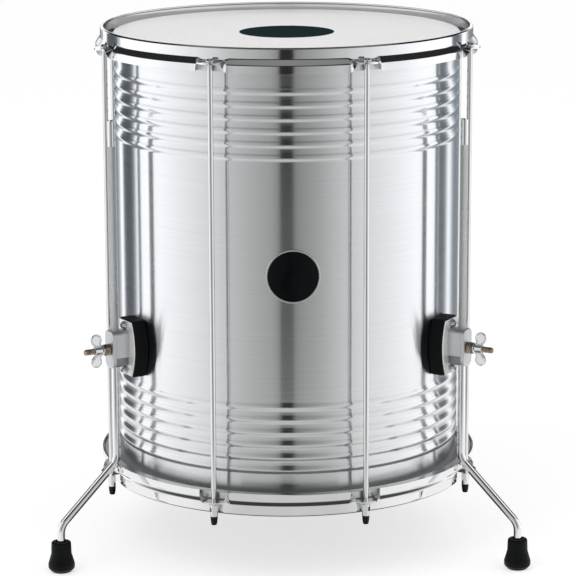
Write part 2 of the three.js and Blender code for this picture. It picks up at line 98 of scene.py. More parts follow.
def rounded(corners: list[Corner], steps: int = 4) -> Profile:
    """Rounds the corners of an open outline.

    Args:
        corners: Points as across, up and the radius of the rounding there.
        steps: Straight pieces in each rounding.

    Returns:
        The outline's points.
    """
    outline: Profile = []
    for i, (across, up, radius) in enumerate(corners):
        here = Vector((across, up))
        if radius <= 0.0 or i in (0, len(corners) - 1):
            outline.append((across, up))
            continue
        before = (Vector(corners[i - 1][:2]) - here).normalized()
        after = (Vector(corners[i + 1][:2]) - here).normalized()
        half = before.angle(after) / 2.0
        inward = (before + after).normalized()
        middle = here + inward * (radius / math.sin(half))
        start = here + before * (radius / math.tan(half)) - middle
        sweep = start.angle_signed(here + after * (radius / math.tan(half)) - middle)
        for k in range(steps + 1):
            turned = start.copy()
            turned.rotate(Matrix.Rotation(-sweep * k / steps, 2))
            outline.append(tuple(middle + turned))
    return outline


def curve(start: Point, pull: Point, push: Point, end: Point, steps: int) -> Profile:
    """Draws a smooth curve from a start to an end.

    Args:
        start: Where it starts.
        pull: Where it heads for at its start.
        push: Where it comes from at its end.
        end: Where it ends.
        steps: Straight pieces along it.

    Returns:
        The curve's points, both ends with them.
    """
    points: Profile = []
    for k in range(steps + 1):
        t = k / steps
        shares = ((1.0 - t) ** 3, 3.0 * t * (1.0 - t) ** 2, 3.0 * t * t * (1.0 - t), t ** 3)
        points.append(tuple(sum(w * p[i] for w, p in zip(shares, (start, pull, push, end))) for i in (0, 1)))
    return points


def ring_corners(corners: list[Corner], steps: int = 3) -> Profile:
    """Rounds every corner of a closed outline.

    Args:
        corners: Points as across, up and the radius of the rounding there.
        steps: Straight pieces in each rounding.

    Returns:
        The outline's points, without a repeat of the first.
    """
    count = len(corners)
    outline: Profile = []
    for i in range(count):
        trio = [corners[i - 1], corners[i], corners[(i + 1) % count]]
        outline += rounded(trio, steps)[1:-1]
    return outline


def spin_round(shape: Shape, steps: int) -> None:
    """Spins a mesh of one outline once about the upright axis, and merges its ends.

    Args:
        shape: The mesh.
        steps: Faces round the axis.
    """
    bmesh.ops.spin(
        shape, geom=shape.verts[:] + shape.edges[:], cent=(0, 0, 0), axis=(0, 0, 1),
        angle=TURN, steps=steps, use_merge=True,
    )
    bmesh.ops.remove_doubles(shape, verts=shape.verts, dist=TINY)


def revolve(outline: Profile, steps: int, ring: bool = False) -> Shape:
    """Spins an outline once about the upright axis.

    Args:
        outline: Points as radius and height.
        steps: Faces round the axis.
        ring: True where the outline closes on itself.

    Returns:
        The closed shape.
    """
    shape = bmesh.new()
    verts = [shape.verts.new((radius, 0.0, up)) for radius, up in outline]
    pairs = list(zip(verts, verts[1:]))
    if ring:
        pairs.append((verts[-1], verts[0]))
    for pair in pairs:
        shape.edges.new(pair)
    spin_round(shape, steps)
    bmesh.ops.recalc_face_normals(shape, faces=shape.faces)
    return shape


def only(kind: type, items: list[object]) -> list[object]:
    """Keeps the items of one kind, such as the vertices in what an operator gives."""
    return [item for item in items if isinstance(item, kind)]


def thicken(shape: Shape, depth: float) -> None:
    """Extrudes all of a flat mesh outward, which is towards -Y, and closes it.

    Args:
        shape: The mesh.
        depth: How far it is extruded.
    """
    grown = bmesh.ops.extrude_face_region(shape, geom=shape.faces[:], use_keep_orig=True)
    moved = only(bmesh.types.BMVert, grown["geom"])
    bmesh.ops.translate(shape, verts=moved, vec=(0.0, -depth, 0.0))
    bmesh.ops.recalc_face_normals(shape, faces=shape.faces)


def slab(outline: Profile, near: float, far: float) -> Shape:
    """Extrudes an outline outward, which is towards -Y.

    Args:
        outline: Points as sideways and up.
        near: Distance of the inner face from the axis.
        far: Distance of the outer face.

    Returns:
        The closed shape.
    """
    shape = bmesh.new()
    shape.faces.new([shape.verts.new((x, -near, z)) for x, z in outline])
    thicken(shape, far - near)
    return shape


def bevel(shape: Shape, edges: Edges, width: float, segments: int = 2) -> None:
    """Bevels some of the edges.

    Args:
        shape: The mesh.
        edges: The edges.
        width: Width of the bevel.
        segments: Faces across the bevel.
    """
    bmesh.ops.bevel(
        shape, geom=edges, offset=width, offset_type="OFFSET", segments=segments,
        profile=0.5, affect="EDGES", clamp_overlap=True, material=-1,
    )


def soften(shape: Shape, width: float, segments: int = 2, over: float = 35.0) -> None:
    """Bevels the edges that turn by more than an angle.

    Args:
        shape: The mesh to soften.
        width: Width of the bevel.
        segments: Faces across the bevel.
        over: The angle in degrees.
    """
    limit = math.radians(over)
    edges = [e for e in shape.edges if len(e.link_faces) == 2 and e.calc_face_angle(0.0) > limit]
    bevel(shape, edges, width, segments)


def lay_outward(shape: Shape, up: float) -> None:
    """Lays an upright shape down, so that its height runs outward.

    Args:
        shape: The mesh to turn.
        up: The height that its axis comes to.
    """
    bmesh.ops.rotate(shape, verts=shape.verts, cent=(0, 0, 0), matrix=Matrix.Rotation(math.pi / 2, 3, "X"))
    bmesh.ops.translate(shape, verts=shape.verts, vec=(0.0, 0.0, up))


def joined(*shapes: Shape) -> Shape:
    """Puts several closed shapes in one mesh, and frees them.

    Args:
        shapes: The closed shapes.

    Returns:
        The mesh of them all.
    """
    whole = bmesh.new()
    for shape in shapes:
        carrier = bpy.data.meshes.new("carrier")
        shape.to_mesh(carrier)
        shape.free()
        whole.from_mesh(carrier)
        bpy.data.meshes.remove(carrier)
    return whole


def thread(core: float, crest: float, pitch: float, turns: int, start: float) -> Shape:
    """Winds the ridge of a screw thread about the upright axis.

    Args:
        core: Radius at the ridge's foot.
        crest: Radius at its crest.
        pitch: Height of one turn.
        turns: Number of turns.
        start: Height of the first turn's foot.

    Returns:
        The closed ridge.
    """
    around = 16
    ridge = bmesh.new()
    section = [(core, 0.05), (crest, 0.5), (core, 0.95)]
    verts = [ridge.verts.new((r, 0.0, start + share * pitch)) for r, share in section]
    for k in range(3):
        ridge.edges.new((verts[k], verts[(k + 1) % 3]))
    bmesh.ops.spin(
        ridge, geom=ridge.verts[:] + ridge.edges[:], cent=(0, 0, 0), axis=(0, 0, 1),
        dvec=(0.0, 0.0, pitch / around), angle=TURN * turns, steps=around * turns, use_merge=False,
    )
    bmesh.ops.holes_fill(ridge, edges=[e for e in ridge.edges if e.is_boundary], sides=3)
    bmesh.ops.recalc_face_normals(ridge, faces=ridge.faces)
    return ridge


def wrap(shape: Shape, radius: float, centre: Point = (0.0, 0.0), outward: float = 0.3) -> None:
    """Wraps the mesh's own map about an upright axis: round it in u, up it in v.

    Args:
        shape: The mesh to map.
        radius: Radius at which u is true to size.
        centre: The axis, in X and Y.
        outward: Share of the distance from the axis that v takes in, so that no face is mapped flat.
    """
    layer = shape.loops.layers.uv.new(WRAP)
    for face in shape.faces:
        middle = face.calc_center_median()
        base = math.atan2(middle.y - centre[1], middle.x - centre[0])
        for loop in face.loops:
            x = loop.vert.co.x - centre[0]
            y = loop.vert.co.y - centre[1]
            angle = math.atan2(y, x)
            angle += TURN * round((base - angle) / TURN)
            up = loop.vert.co.z + outward * math.hypot(x, y)
            loop[layer].uv = (angle * radius * MILLIMETRE, up * MILLIMETRE)


@dataclass(frozen=True)
class Datum:
    """The drum's own axis and edges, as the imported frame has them.

    Attributes:
        axis_y: Y of the axis, in metres.
        top: Height of the shell's upper edge.
        bottom: Height of its lower edge.
    """

    axis_y: float
    top: float
    bottom: float

    @classmethod
    def read(cls) -> "Datum":
        """Takes the axis and the edges from the shell's box."""
        low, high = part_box("shell")
        return cls((low.y + high.y) / 2.0, high.z / MILLIMETRE, low.z / MILLIMETRE)

    def place(self, degrees: float = 0.0) -> Matrix:
        """Turns from the front by an angle towards +X, and scales to metres."""
        turn = Matrix.Rotation(math.radians(degrees), 4, "Z")
        return Matrix.Translation((0.0, self.axis_y, 0.0)) @ turn @ Matrix.Scale(MILLIMETRE, 4)

    def edge(self, end: End) -> float:
        """Height of the shell's edge at an end."""
        return self.top if end is End.TOP else self.bottom


# Finishes


@dataclass(frozen=True)
class Slope:
    """A way from one value to another while a source goes through its range.

    Attributes:
        start: Where the source's range starts.
        stop: Where it stops.
        low: The value up to the start.
        high: The value from the stop on.
    """

    start: float
    stop: float
    low: float = 0.0
    high: float = 1.0

    @classmethod
    def climb(cls, start: float, stop: float) -> "Slope":
        """From zero to one between two degrees of elevation, for a source that is their sine."""
        return cls(math.sin(math.radians(start)), math.sin(math.radians(stop)))


class Nodes:
    """The shader nodes of a material or of the world."""

    def __init__(self, owner: bpy.types.Material | bpy.types.World) -> None:
        """Empties the owner's tree and gives it an output.

        Args:
            owner: The material or the world.
        """
        owner.use_nodes = True
        self.tree = owner.node_tree
        self.tree.nodes.clear()
        kind = "World" if isinstance(owner, bpy.types.World) else "Material"
        self.output = self.add(f"ShaderNodeOutput{kind}")

    def add(self, kind: str, **settings: object) -> bpy.types.Node:
        """Adds a node and sets its properties.

        Args:
            kind: The node's type.
            settings: Its properties, by name.

        Returns:
            The node.
        """
        node = self.tree.nodes.new(kind)
        for key, value in settings.items():
            setattr(node, key, value)
        return node

    def put(self, target: Socket, value: Feed) -> None:
        """Feeds an input with an output, a number, a vector or a colour.

        Args:
            target: The input.
            value: What it takes.
        """
        if isinstance(value, bpy.types.NodeSocket):
            self.tree.links.new(value, target)
        elif target.type != "RGBA":
            target.default_value = value
        elif isinstance(value, tuple):
            target.default_value = (*value, 1.0)
        else:
            target.default_value = (value, value, value, 1.0)

    def fill(self, node: bpy.types.Node, values: dict[str, Feed]) -> None:
        """Feeds several inputs of a node, by their names."""
        for name, value in values.items():
            self.put(node.inputs[name], value)

    def close(self, shader: Socket) -> None:
        """Ends the tree with a shader."""
        self.put(self.output.inputs["Surface"], shader)

    def split(self, vector: Socket) -> bpy.types.NodeOutputs:
        """Splits a vector into the outputs X, Y and Z.

        Args:
            vector: The vector.

        Returns:
            The outputs X, Y and Z.
        """
        node = self.add("ShaderNodeSeparateXYZ")
        self.put(node.inputs["Vector"], vector)
        return node.outputs

    def reckon(self, operation: str, first: Feed, second: Feed = 0.0) -> Socket:
        """Reckons with two values.

        Args:
            operation: The kind of reckoning, as the node names it.
            first: The first value.
            second: The second one, where the kind takes two.

        Returns:
            The result.
        """
        node = self.add("ShaderNodeMath", operation=operation)
        self.put(node.inputs[0], first)
        self.put(node.inputs[1], second)
        return node.outputs["Value"]

    def mix(self, share: Feed, low: Feed, high: Feed, kind: str = "MIX") -> Socket:
        """Mixes two colours by a share.

        Args:
            share: The share of the second colour.
            low: The first colour, or its brightness.
            high: The second one.
            kind: How they are mixed.

        Returns:
            The mixed colour.
        """
        node = self.add("ShaderNodeMix", data_type="RGBA", blend_type=kind)
        self.fill(node, {"Factor": share, "A": low, "B": high})
        return node.outputs["Result"]

    def follow(self, source: Socket, slope: Slope, kind: str = "SMOOTHSTEP") -> Socket:
        """Gives the value of a slope at the source, eased at both ends unless told otherwise.

        Args:
            source: The source.
            slope: The slope.
            kind: How the value goes between its ends.

        Returns:
            The value.
        """
        node = self.add("ShaderNodeMapRange", interpolation_type=kind)
        self.fill(node, {
            "Value": source, "From Min": slope.start, "From Max": slope.stop,
            "To Min": slope.low, "To Max": slope.high,
        })
        return node.outputs["Result"]

    def ramp(self, share: Socket, stops: list[tuple[float, tuple[float, ...]]]) -> bpy.types.NodeOutputs:
        """Lays colours out along a share.

        Args:
            share: The share, from zero to one.
            stops: Where each colour stands, and the colour with its alpha.

        Returns:
            The outputs Color and Alpha.
        """
        node = self.add("ShaderNodeValToRGB")
        elements = node.color_ramp.elements
        while len(elements) > 1:
            elements.remove(elements[-1])
        for k, (position, colour) in enumerate(stops):
            stop = elements[0] if k == 0 else elements.new(position)
            stop.position = position
            stop.color = colour
        self.put(node.inputs["Fac"], share)
        return node.outputs


class Sheet(Nodes):
    """The nodes of a material with one surface shader."""

    def __init__(self, name: str, colour: Colour, roughness: float, metallic: float) -> None:
        """Starts the material.

        Args:
            name: The material's name.
            colour: Linear base colour.
            roughness: Roughness where nothing is linked.
            metallic: One for metal.
        """
        self.material = bpy.data.materials.new(name)
        super().__init__(self.material)
        self.surface = self.add("ShaderNodeBsdfPrincipled")
        self.close(self.surface.outputs["BSDF"])
        self.feed("Base Color", colour)
        self.feed("Roughness", roughness)
        self.feed("Metallic", metallic)

    def feed(self, socket: str, value: Feed) -> None:
        """Feeds an input of the surface shader."""
        self.put(self.surface.inputs[socket], value)

    def place(self, stretch: Corner = (1.0, 1.0, 1.0), own_map: bool = False) -> Socket:
        """Gives stretched coordinates on the piece.

        Args:
            stretch: The stretch along each axis.
            own_map: True for the piece's wrapped map, and False for Object coordinates.

        Returns:
            The coordinates.
        """
        mapping = self.add("ShaderNodeMapping")
        self.put(mapping.inputs["Scale"], stretch)
        if own_map:
            source = self.add("ShaderNodeUVMap", uv_map=WRAP).outputs["UV"]
        else:
            source = self.add("ShaderNodeTexCoord").outputs["Object"]
        self.put(mapping.inputs["Vector"], source)
        return mapping.outputs["Vector"]

    def noise(self, place: Socket, scale: float, detail: float) -> Socket:
        """Noise at a place.

        Args:
            place: The coordinates.
            scale: Features for each unit of them.
            detail: Octaves.

        Returns:
            The noise, about a half on average.
        """
        node = self.add("ShaderNodeTexNoise")
        self.fill(node, {"Vector": place, "Scale": scale, "Detail": detail})
        return node.outputs["Fac"]

    def spread(self, noise: Socket, low: float, high: float) -> Socket:
        """Maps a noise's middle, from 0.3 to 0.7, evenly to a range of its own."""
        return self.follow(noise, Slope(0.3, 0.7, low, high), "LINEAR")

    def mottle(self, noise: Socket, low: Colour, high: Colour) -> None:
        """Lets the base colour go between two colours with a noise."""
        self.feed("Base Color", self.mix(self.spread(noise, 0.0, 1.0), low, high))

    def relief(self, height: Socket, strength: float, depth: float) -> None:
        """Turns a height into bumps on the surface.

        Args:
            height: The height, from zero to one.
            strength: Share of the bump that shows.
            depth: Depth of the bump in metres.
        """
        node = self.add("ShaderNodeBump")
        self.fill(node, {"Height": height, "Strength": strength, "Distance": depth})
        self.feed("Normal", node.outputs["Normal"])


def shade(colour: Colour, factor: float) -> Colour:
    """A colour made lighter or darker by a factor."""
    return (colour[0] * factor, colour[1] * factor, colour[2] * factor)


@dataclass(frozen=True)
class Finish:
    """A finish that pieces share.

    Attributes:
        slot: The kind of material, which goes into the material's name.
        colour: Linear base colour.
        roughness: Middle roughness.
        metallic: One for metal.
        made: Materials made so far, by name.
    """

    slot: str
    colour: Colour
    roughness: float
    metallic: float = 0.0
    made: dict[str, bpy.types.Material] = field(default_factory=dict)

    def name(self) -> str:
        """The material's name."""
        return f"{type(self).__name__.lower()}_{self.slot}_{round(self.roughness * 100.0)}"

    def material(self) -> bpy.types.Material:
        """Makes the material once and gives it each time.

        Returns:
            The material.
        """
        if self.name() not in self.made:
            sheet = Sheet(self.name(), self.colour, self.roughness, self.metallic)
            self.dress(sheet)
            self.made[self.name()] = sheet.material
        return self.made[self.name()]

    def dress(self, sheet: Sheet) -> None:
        """Adds the finish's own nodes."""
        raise NotImplementedError


@dataclass(frozen=True)
class Brushed(Finish):
    """Aluminium with fine brush lines round the drum.

    Attributes:
        grain: Brush lines for each metre of height.
        stretch: How often a line changes in each metre along it.
        anisotropy: How much more the lines blur the light along the drum than round it.
    """

    grain: float = 1500.0
    stretch: float = 3.0
    anisotropy: float = 1.0

    def dress(self, sheet: Sheet) -> None:
        """Lays streaks in colour, roughness and height, and blurs the light across them.

        Args:
            sheet: The nodes of the finish's material.
        """
        along = sheet.place((self.stretch, self.stretch, self.grain))
        broad = sheet.place((self.stretch, self.stretch, self.grain / 4.0))
        fine = sheet.reckon("MULTIPLY", sheet.noise(along, scale=1.0, detail=2.0), 0.55)
        coarse = sheet.reckon("MULTIPLY", sheet.noise(broad, scale=1.0, detail=3.0), 0.45)
        streaks = sheet.reckon("ADD", fine, coarse)
        clouds = sheet.noise(sheet.place(), scale=9.0, detail=2.0)
        sheet.mottle(streaks, low=shade(self.colour, 0.955), high=shade(self.colour, 1.025))
        gloss = sheet.reckon("ADD", sheet.spread(streaks, -0.03, 0.03), sheet.spread(clouds, -0.012, 0.012))
        sheet.feed("Roughness", sheet.reckon("ADD", gloss, self.roughness))
        sheet.feed("Anisotropic", self.anisotropy)
        sheet.feed("Anisotropic Rotation", 0.25)
        tangent = sheet.add("ShaderNodeTangent", direction_type="UV_MAP", uv_map=WRAP)
        sheet.feed("Tangent", tangent.outputs["Tangent"])
        sheet.relief(streaks, strength=0.05, depth=0.00004)


@dataclass(frozen=True)
class Plated(Finish):
    """Bright plating with a faint wave and finger haze."""

    def dress(self, sheet: Sheet) -> None:
        """Varies the gloss, and lets the surface wave a little.

        Args:
            sheet: The nodes of the finish's material.
        """
        spot = sheet.place()
        haze = sheet.noise(spot, scale=26.0, detail=4.0)
        specks = sheet.noise(spot, scale=700.0, detail=2.0)
        wave = sheet.noise(spot, scale=48.0, detail=1.0)
        gloss = sheet.reckon("ADD", sheet.spread(haze, -0.02, 0.035), sheet.spread(specks, -0.006, 0.006))
        sheet.feed("Roughness", sheet.reckon("ADD", gloss, self.roughness))
        sheet.mottle(haze, low=self.colour, high=shade(self.colour, 0.95))
        sheet.relief(wave, strength=0.06, depth=0.0004)


@dataclass(frozen=True)
class Knurled(Finish):
    """Plated rod with crossed knurling over a part of its length.

    Attributes:
        low: Height where the knurling starts, in metres.
        high: Height where it stops.
        fade: Length over which it comes and goes.
        pitch: Distance between two ridges.
    """

    low: float = 0.315
    high: float = 0.560
    fade: float = 0.002
    pitch: float = 0.0013

    def dress(self, sheet: Sheet) -> None:
        """Crosses two sets of ridges, and leaves the rest of the rod smooth.

        Args:
            sheet: The nodes of the finish's material.
        """
        own = sheet.split(sheet.place((TURN / self.pitch, TURN / self.pitch, 1.0), own_map=True))
        rising = sheet.reckon("SINE", sheet.reckon("ADD", own["X"], own["Y"]))
        falling = sheet.reckon("SINE", sheet.reckon("SUBTRACT", own["X"], own["Y"]))
        height = sheet.split(sheet.add("ShaderNodeTexCoord").outputs["Object"])["Z"]
        start = sheet.follow(height, Slope(self.low - self.fade, self.low))
        stop = sheet.follow(height, Slope(self.high, self.high + self.fade, 1.0, 0.0))
        mask = sheet.reckon("MULTIPLY", start, stop)
        haze = sheet.noise(sheet.place(), scale=30.0, detail=3.0)
        smooth = sheet.spread(haze, self.roughness - 0.02, self.roughness + 0.04)
        sheet.feed("Roughness", sheet.reckon("ADD", smooth, sheet.reckon("MULTIPLY", mask, 0.2)))
        sheet.feed("Base Color", sheet.mix(mask, self.colour, shade(self.colour, 0.74)))
        cross = sheet.reckon("MULTIPLY", rising, falling)
        sheet.relief(sheet.reckon("MULTIPLY", cross, mask), strength=0.7, depth=0.00022)


@dataclass(frozen=True)
class Film(Finish):
    """Coated drumhead film."""

    def dress(self, sheet: Sheet) -> None:
        """Mottles the coating and gives it a fine tooth.

        Args:
            sheet: The nodes of the finish's material.
        """
        spot = sheet.place()
        clouds = sheet.noise(spot, scale=14.0, detail=3.0)
        tooth = sheet.noise(spot, scale=900.0, detail=2.0)
        sheet.mottle(clouds, low=shade(self.colour, 0.98), high=shade(self.colour, 1.01))
        sheet.feed("Roughness", sheet.spread(tooth, self.roughness - 0.05, self.roughness + 0.05))
        sheet.relief(tooth, strength=0.08, depth=0.00008)


@dataclass(frozen=True)
class Moulded(Finish):
    """Moulded rubber or plastic.

    Attributes:
        tooth: Depth of the surface's fine grain, in metres.
        gloss: Level of the surface's own reflection.
        dust: How much lighter the surface is where dust lies.
    """

    tooth: float = 0.0001
    gloss: float = 0.4
    dust: float = 1.5

    def dress(self, sheet: Sheet) -> None:
        """Gives fine grain, and a surface that is lighter and duller where dust lies.

        Args:
            sheet: The nodes of the finish's material.
        """
        spot = sheet.place()
        grain = sheet.noise(spot, scale=620.0, detail=3.0)
        dust = sheet.noise(spot, scale=45.0, detail=4.0)
        sheet.mottle(dust, low=self.colour, high=shade(self.colour, self.dust))
        sheet.feed("Roughness", sheet.spread(dust, self.roughness - 0.06, self.roughness + 0.08))
        sheet.feed("Specular IOR Level", self.gloss)
        sheet.relief(grain, strength=0.25, depth=self.tooth)


@dataclass(frozen=True)
class Ink(Moulded):
    """Matt ink printed on the film."""


@dataclass(frozen=True)
class Zinc(Finish):
    """Yellowed zinc on cut threads."""

    def dress(self, sheet: Sheet) -> None:
        """Stains the plating from straw to brown.

        Args:
            sheet: The nodes of the finish's material.
        """
        spot = sheet.place()
        stain = sheet.noise(spot, scale=240.0, detail=4.0)
        brown = (self.colour[0] * 0.52, self.colour[1] * 0.40, self.colour[2] * 0.32)
        sheet.mottle(stain, low=self.colour, high=brown)
        sheet.feed("Roughness", sheet.spread(stain, self.roughness - 0.08, self.roughness + 0.12))
        sheet.relief(sheet.noise(spot, scale=1500.0, detail=2.0), strength=0.15, depth=0.00005)


ALUMINIUM = Brushed("brushed_aluminium", (0.695, 0.705, 0.72), 0.18, 1.0)
SPUN = Brushed("spun_aluminium", (0.66, 0.66, 0.65), 0.32, 1.0, anisotropy=0.6)
CHROME = Plated("chrome", (0.74, 0.745, 0.76), 0.07, 1.0)
HOOP_CHROME = Plated("chrome", (0.775, 0.78, 0.795), 0.06, 1.0)
SATIN = Plated("chrome", (0.64, 0.645, 0.655), 0.42, 1.0)
# Chrome lightened and made half white, so that the plate comes out white: a painted highlight.
PLATE_HIGHLIGHT_CHROME = Plated("chrome", (0.97, 0.97, 0.975), 0.2, 0.5)
# Dark chrome for the step under each saddle: its darkness is painted shade in the recess.
SHADED_STEP_CHROME = Plated("chrome", (0.26, 0.27, 0.28), 0.36, 1.0)
LEG_CHROME = Knurled("chrome", (0.76, 0.765, 0.78), 0.07, 1.0)
ZINC = Zinc("yellow_zinc", (0.42, 0.375, 0.295), 0.26, 1.0)
FILM = Film("coated_film", (0.88, 0.862, 0.869), 0.3)
RUBBER = Moulded("black_rubber", (0.0022, 0.0032, 0.0038), 0.5, tooth=0.00012, gloss=0.12)
PLASTIC = Moulded("black_plastic", (0.0025, 0.0028, 0.0032), 0.34, tooth=0.00005, gloss=0.2)
ENAMEL = Moulded("black_enamel", (0.0016, 0.0024, 0.003), 0.22, tooth=0.00001, gloss=0.14)
INK = Ink("black_enamel", (0.014, 0.024, 0.029), 0.6, tooth=0.00002, gloss=0.0, dust=1.12)


def deliver(
    shape: Shape, name: str, place: Matrix, body: str, finish: Finish,
    replaces: tuple[str, ...] = (), sharp: float = 38.0,
) -> bpy.types.Object:
    """Makes a finished piece of a mesh, and frees the mesh.

    Args:
        shape: The mesh in millimetres.
        name: The piece's name.
        place: Where it goes, and its scale to metres.
        body: The body that it rides on.
        finish: Its finish.
        replaces: The frame's nodes that it stands for.
        sharp: Edges that turn by more than this, in degrees, stay sharp.

    Returns:
        The piece.
    """
    bmesh.ops.transform(shape, matrix=place, verts=shape.verts)
    bmesh.ops.recalc_face_normals(shape, faces=shape.faces)
    mesh = bpy.data.meshes.new(name)
    shape.to_mesh(mesh)
    shape.free()
    mesh.shade_smooth()
    mesh.set_sharp_from_angle(angle=math.radians(sharp))
    mesh.materials.append(finish.material())
    piece = bpy.data.objects.new(name, mesh)
    bpy.context.scene.collection.objects.link(piece)
    even = piece.modifiers.new("even_shading", "WEIGHTED_NORMAL")
    even.keep_sharp = True
    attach(piece, body)
    if replaces:
        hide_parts(*replaces)
    log.info("%s: %d faces on %s", name, len(mesh.polygons), body)
    return piece


# The drum


@dataclass
class Shell:
    """The rolled tube, with a set of beads near each end."""

    radius: float = 228.6
    wall: float = 1.5
    bead_count: int = 6
    bead_pitch: float = 16.8
    bead_inset: float = 47.9
    bead_width: float = 13.0
    bead_height: float = 2.0
    bead_steps: int = 12
    plain_half: float = 60.0
    steps: int = 192

    def bead_centres(self, datum: Datum) -> list[float]:
        """Heights of the beads' centres, from the lowest up."""
        reach = [self.bead_inset + i * self.bead_pitch for i in range(self.bead_count)]
        return [datum.bottom + r for r in reach] + [datum.top - r for r in reversed(reach)]

    def outline(self, datum: Datum) -> Profile:
        """The wall's section.

        Args:
            datum: The drum's axis and edges.

        Returns:
            The outer wall going up, and the inner wall going down.
        """
        wall = [(datum.bottom, 0.0), (datum.bottom + self.bead_inset / 2.0, 0.0)]
        for centre in self.bead_centres(datum):
            for k in range(self.bead_steps + 1):
                share = k / self.bead_steps - 0.5
                swell = self.bead_height * (1.0 + math.cos(TURN * share)) / 2.0
                wall.append((centre + share * self.bead_width, swell))
        middle = (datum.bottom + datum.top) / 2.0
        wall += [(middle - self.plain_half, 0.0), (middle + self.plain_half, 0.0)]
        wall += [(datum.top - self.bead_inset / 2.0, 0.0), (datum.top, 0.0)]
        wall.sort()
        outer = [(self.radius + swell, up) for up, swell in wall]
        inner = [(self.radius - self.wall + swell, up) for up, swell in reversed(wall)]
        return outer + inner

    def build(self, datum: Datum) -> None:
        """Spins the wall and hangs it on the drum.

        Args:
            datum: The drum's axis and edges.
        """
        tube = revolve(self.outline(datum), self.steps, ring=True)
        soften(tube, 0.4, over=60.0)
        wrap(tube, self.radius)
        deliver(tube, "shell_tube", datum.place(), "drum", ALUMINIUM, ("shell",), sharp=50.0)


@dataclass
class Badge:
    """A plain disc bent to the shell: a bright dish with black enamel in it."""

    radius: float = 35.0
    seat: float = 228.9
    thickness: float = 1.2
    rim: float = 2.2
    recess: float = 0.35
    dome: float = 0.12
    sink: float = 0.3
    rings: int = 5
    up: float = 408.4
    turn: float = 1.3
    steps: int = 96

    def bend(self, shape: Shape) -> None:
        """Bends a flat disc round the shell, and lifts it to its height.

        Args:
            shape: The disc, with its thickness.
        """
        lay_outward(shape, self.up)
        for vert in shape.verts:
            out = -vert.co.y
            angle = vert.co.x / self.seat
            vert.co.x = out * math.sin(angle)
            vert.co.y = -out * math.cos(angle)

    def build(self, datum: Datum) -> None:
        """Makes the dish and the enamel.

        Args:
            datum: The drum's axis and edges.
        """
        top = self.seat + self.thickness
        face = top - self.recess
        inner = self.radius - self.rim
        out = [k / self.rings for k in range(self.rings + 1)]
        dish = [(inner * share, face - self.sink / 2.0) for share in out]
        dish += [(inner + 0.25, top - 0.05), (inner + 0.6, top)]
        dish += [(self.radius - 0.5, top), (self.radius, top - 0.5)]
        dish += [(self.radius * (1.0 - share), self.seat) for share in out]
        bowl = revolve(dish, self.steps)
        self.bend(bowl)
        deliver(bowl, "badge_dish", datum.place(self.turn), "drum", SATIN, ("badge",))
        edge = inner - 0.05
        out = [k / (self.rings + 1) for k in range(self.rings + 2)]
        crown = [(edge * share, face + self.dome * (1.0 - share ** 2)) for share in out]
        base = [(edge * (1.0 - share), face - self.sink) for share in out]
        fill = revolve(crown + base, self.steps)
        self.bend(fill)
        deliver(fill, "badge_enamel", datum.place(self.turn), "drum", ENAMEL)


@dataclass
class Head:
    """A head: film with its collar, and the flesh hoop that holds it."""

    end: End
    seat: float = 0.3
    film: float = 0.5
    shoulder: float = 228.9
    collar_foot: float = 240.0
    foot_depth: float = 12.3
    flesh_inner: float = 240.3
    flesh_outer: float = 250.5
    flesh_top: float = 11.1
    flesh_height: float = 10.0
    disc_radius: float = 63.0
    disc_forward: float = 18.0
    disc_height: float = 0.06
    disc_sink: float = 0.1
    steps: int = 192

    def lift(self, shape: Shape, datum: Datum) -> None:
        """Turns heights above the shell's edge into heights from the floor."""
        bmesh.ops.scale(shape, verts=shape.verts, vec=(1.0, 1.0, self.end.value))
        bmesh.ops.translate(shape, verts=shape.verts, vec=(0.0, 0.0, datum.edge(self.end)))

    def build(self, datum: Datum) -> None:
        """Makes the film and the flesh hoop, and the printed disc on the batter side.

        Args:
            datum: The drum's axis and edges.
        """
        word = "batter" if self.end is End.TOP else "resonant"
        under = self.seat
        over = self.seat + self.film
        flat = [(self.shoulder * share, over, 0.0) for share in (0.0, 0.2, 0.4, 0.6, 0.8, 0.93)]
        corners = flat + [
            (self.shoulder + 0.3, over, 2.2),
            (self.collar_foot, -self.foot_depth, 0.0),
            (self.collar_foot - 0.6, -self.foot_depth, 0.0),
            (self.shoulder - 0.1, under, 1.6),
            (0.0, under, 0.0),
        ]
        film = revolve(rounded(corners), self.steps)
        self.lift(film, datum)
        deliver(film, f"{word}_film", datum.place(), "drum", FILM, (f"{word}_head",))
        low = -self.flesh_top - self.flesh_height
        ring = [
            (self.flesh_inner, low, 0.8),
            (self.flesh_outer, low, 0.8),
            (self.flesh_outer, -self.flesh_top, 1.6),
            (self.flesh_inner, -self.flesh_top, 1.0),
        ]
        hoop = revolve(ring_corners(ring), self.steps, ring=True)
        self.lift(hoop, datum)
        wrap(hoop, self.flesh_outer)
        deliver(hoop, f"{word}_ring", datum.place(), "drum", SPUN, (f"{word}_flesh_hoop",))
        if self.end is End.TOP:
            self.print_disc(datum, over)

    def print_disc(self, datum: Datum, film_top: float) -> None:
        """Lays the plain printed disc on the film.

        Args:
            datum: The drum's axis and edges.
            film_top: The film's upper face, above the shell's edge.
        """
        edge = self.disc_radius
        outline = [(radius, self.disc_height) for radius in (0.0, edge * 0.5, edge - 0.1)]
        outline += [(edge, 0.0), (edge, -self.disc_sink), (0.0, -self.disc_sink)]
        disc = revolve(outline, self.steps // 2)
        bmesh.ops.translate(disc, verts=disc.verts, vec=(0.0, -self.disc_forward, film_top))
        self.lift(disc, datum)
        deliver(disc, "printed_disc", datum.place(), "drum", INK)


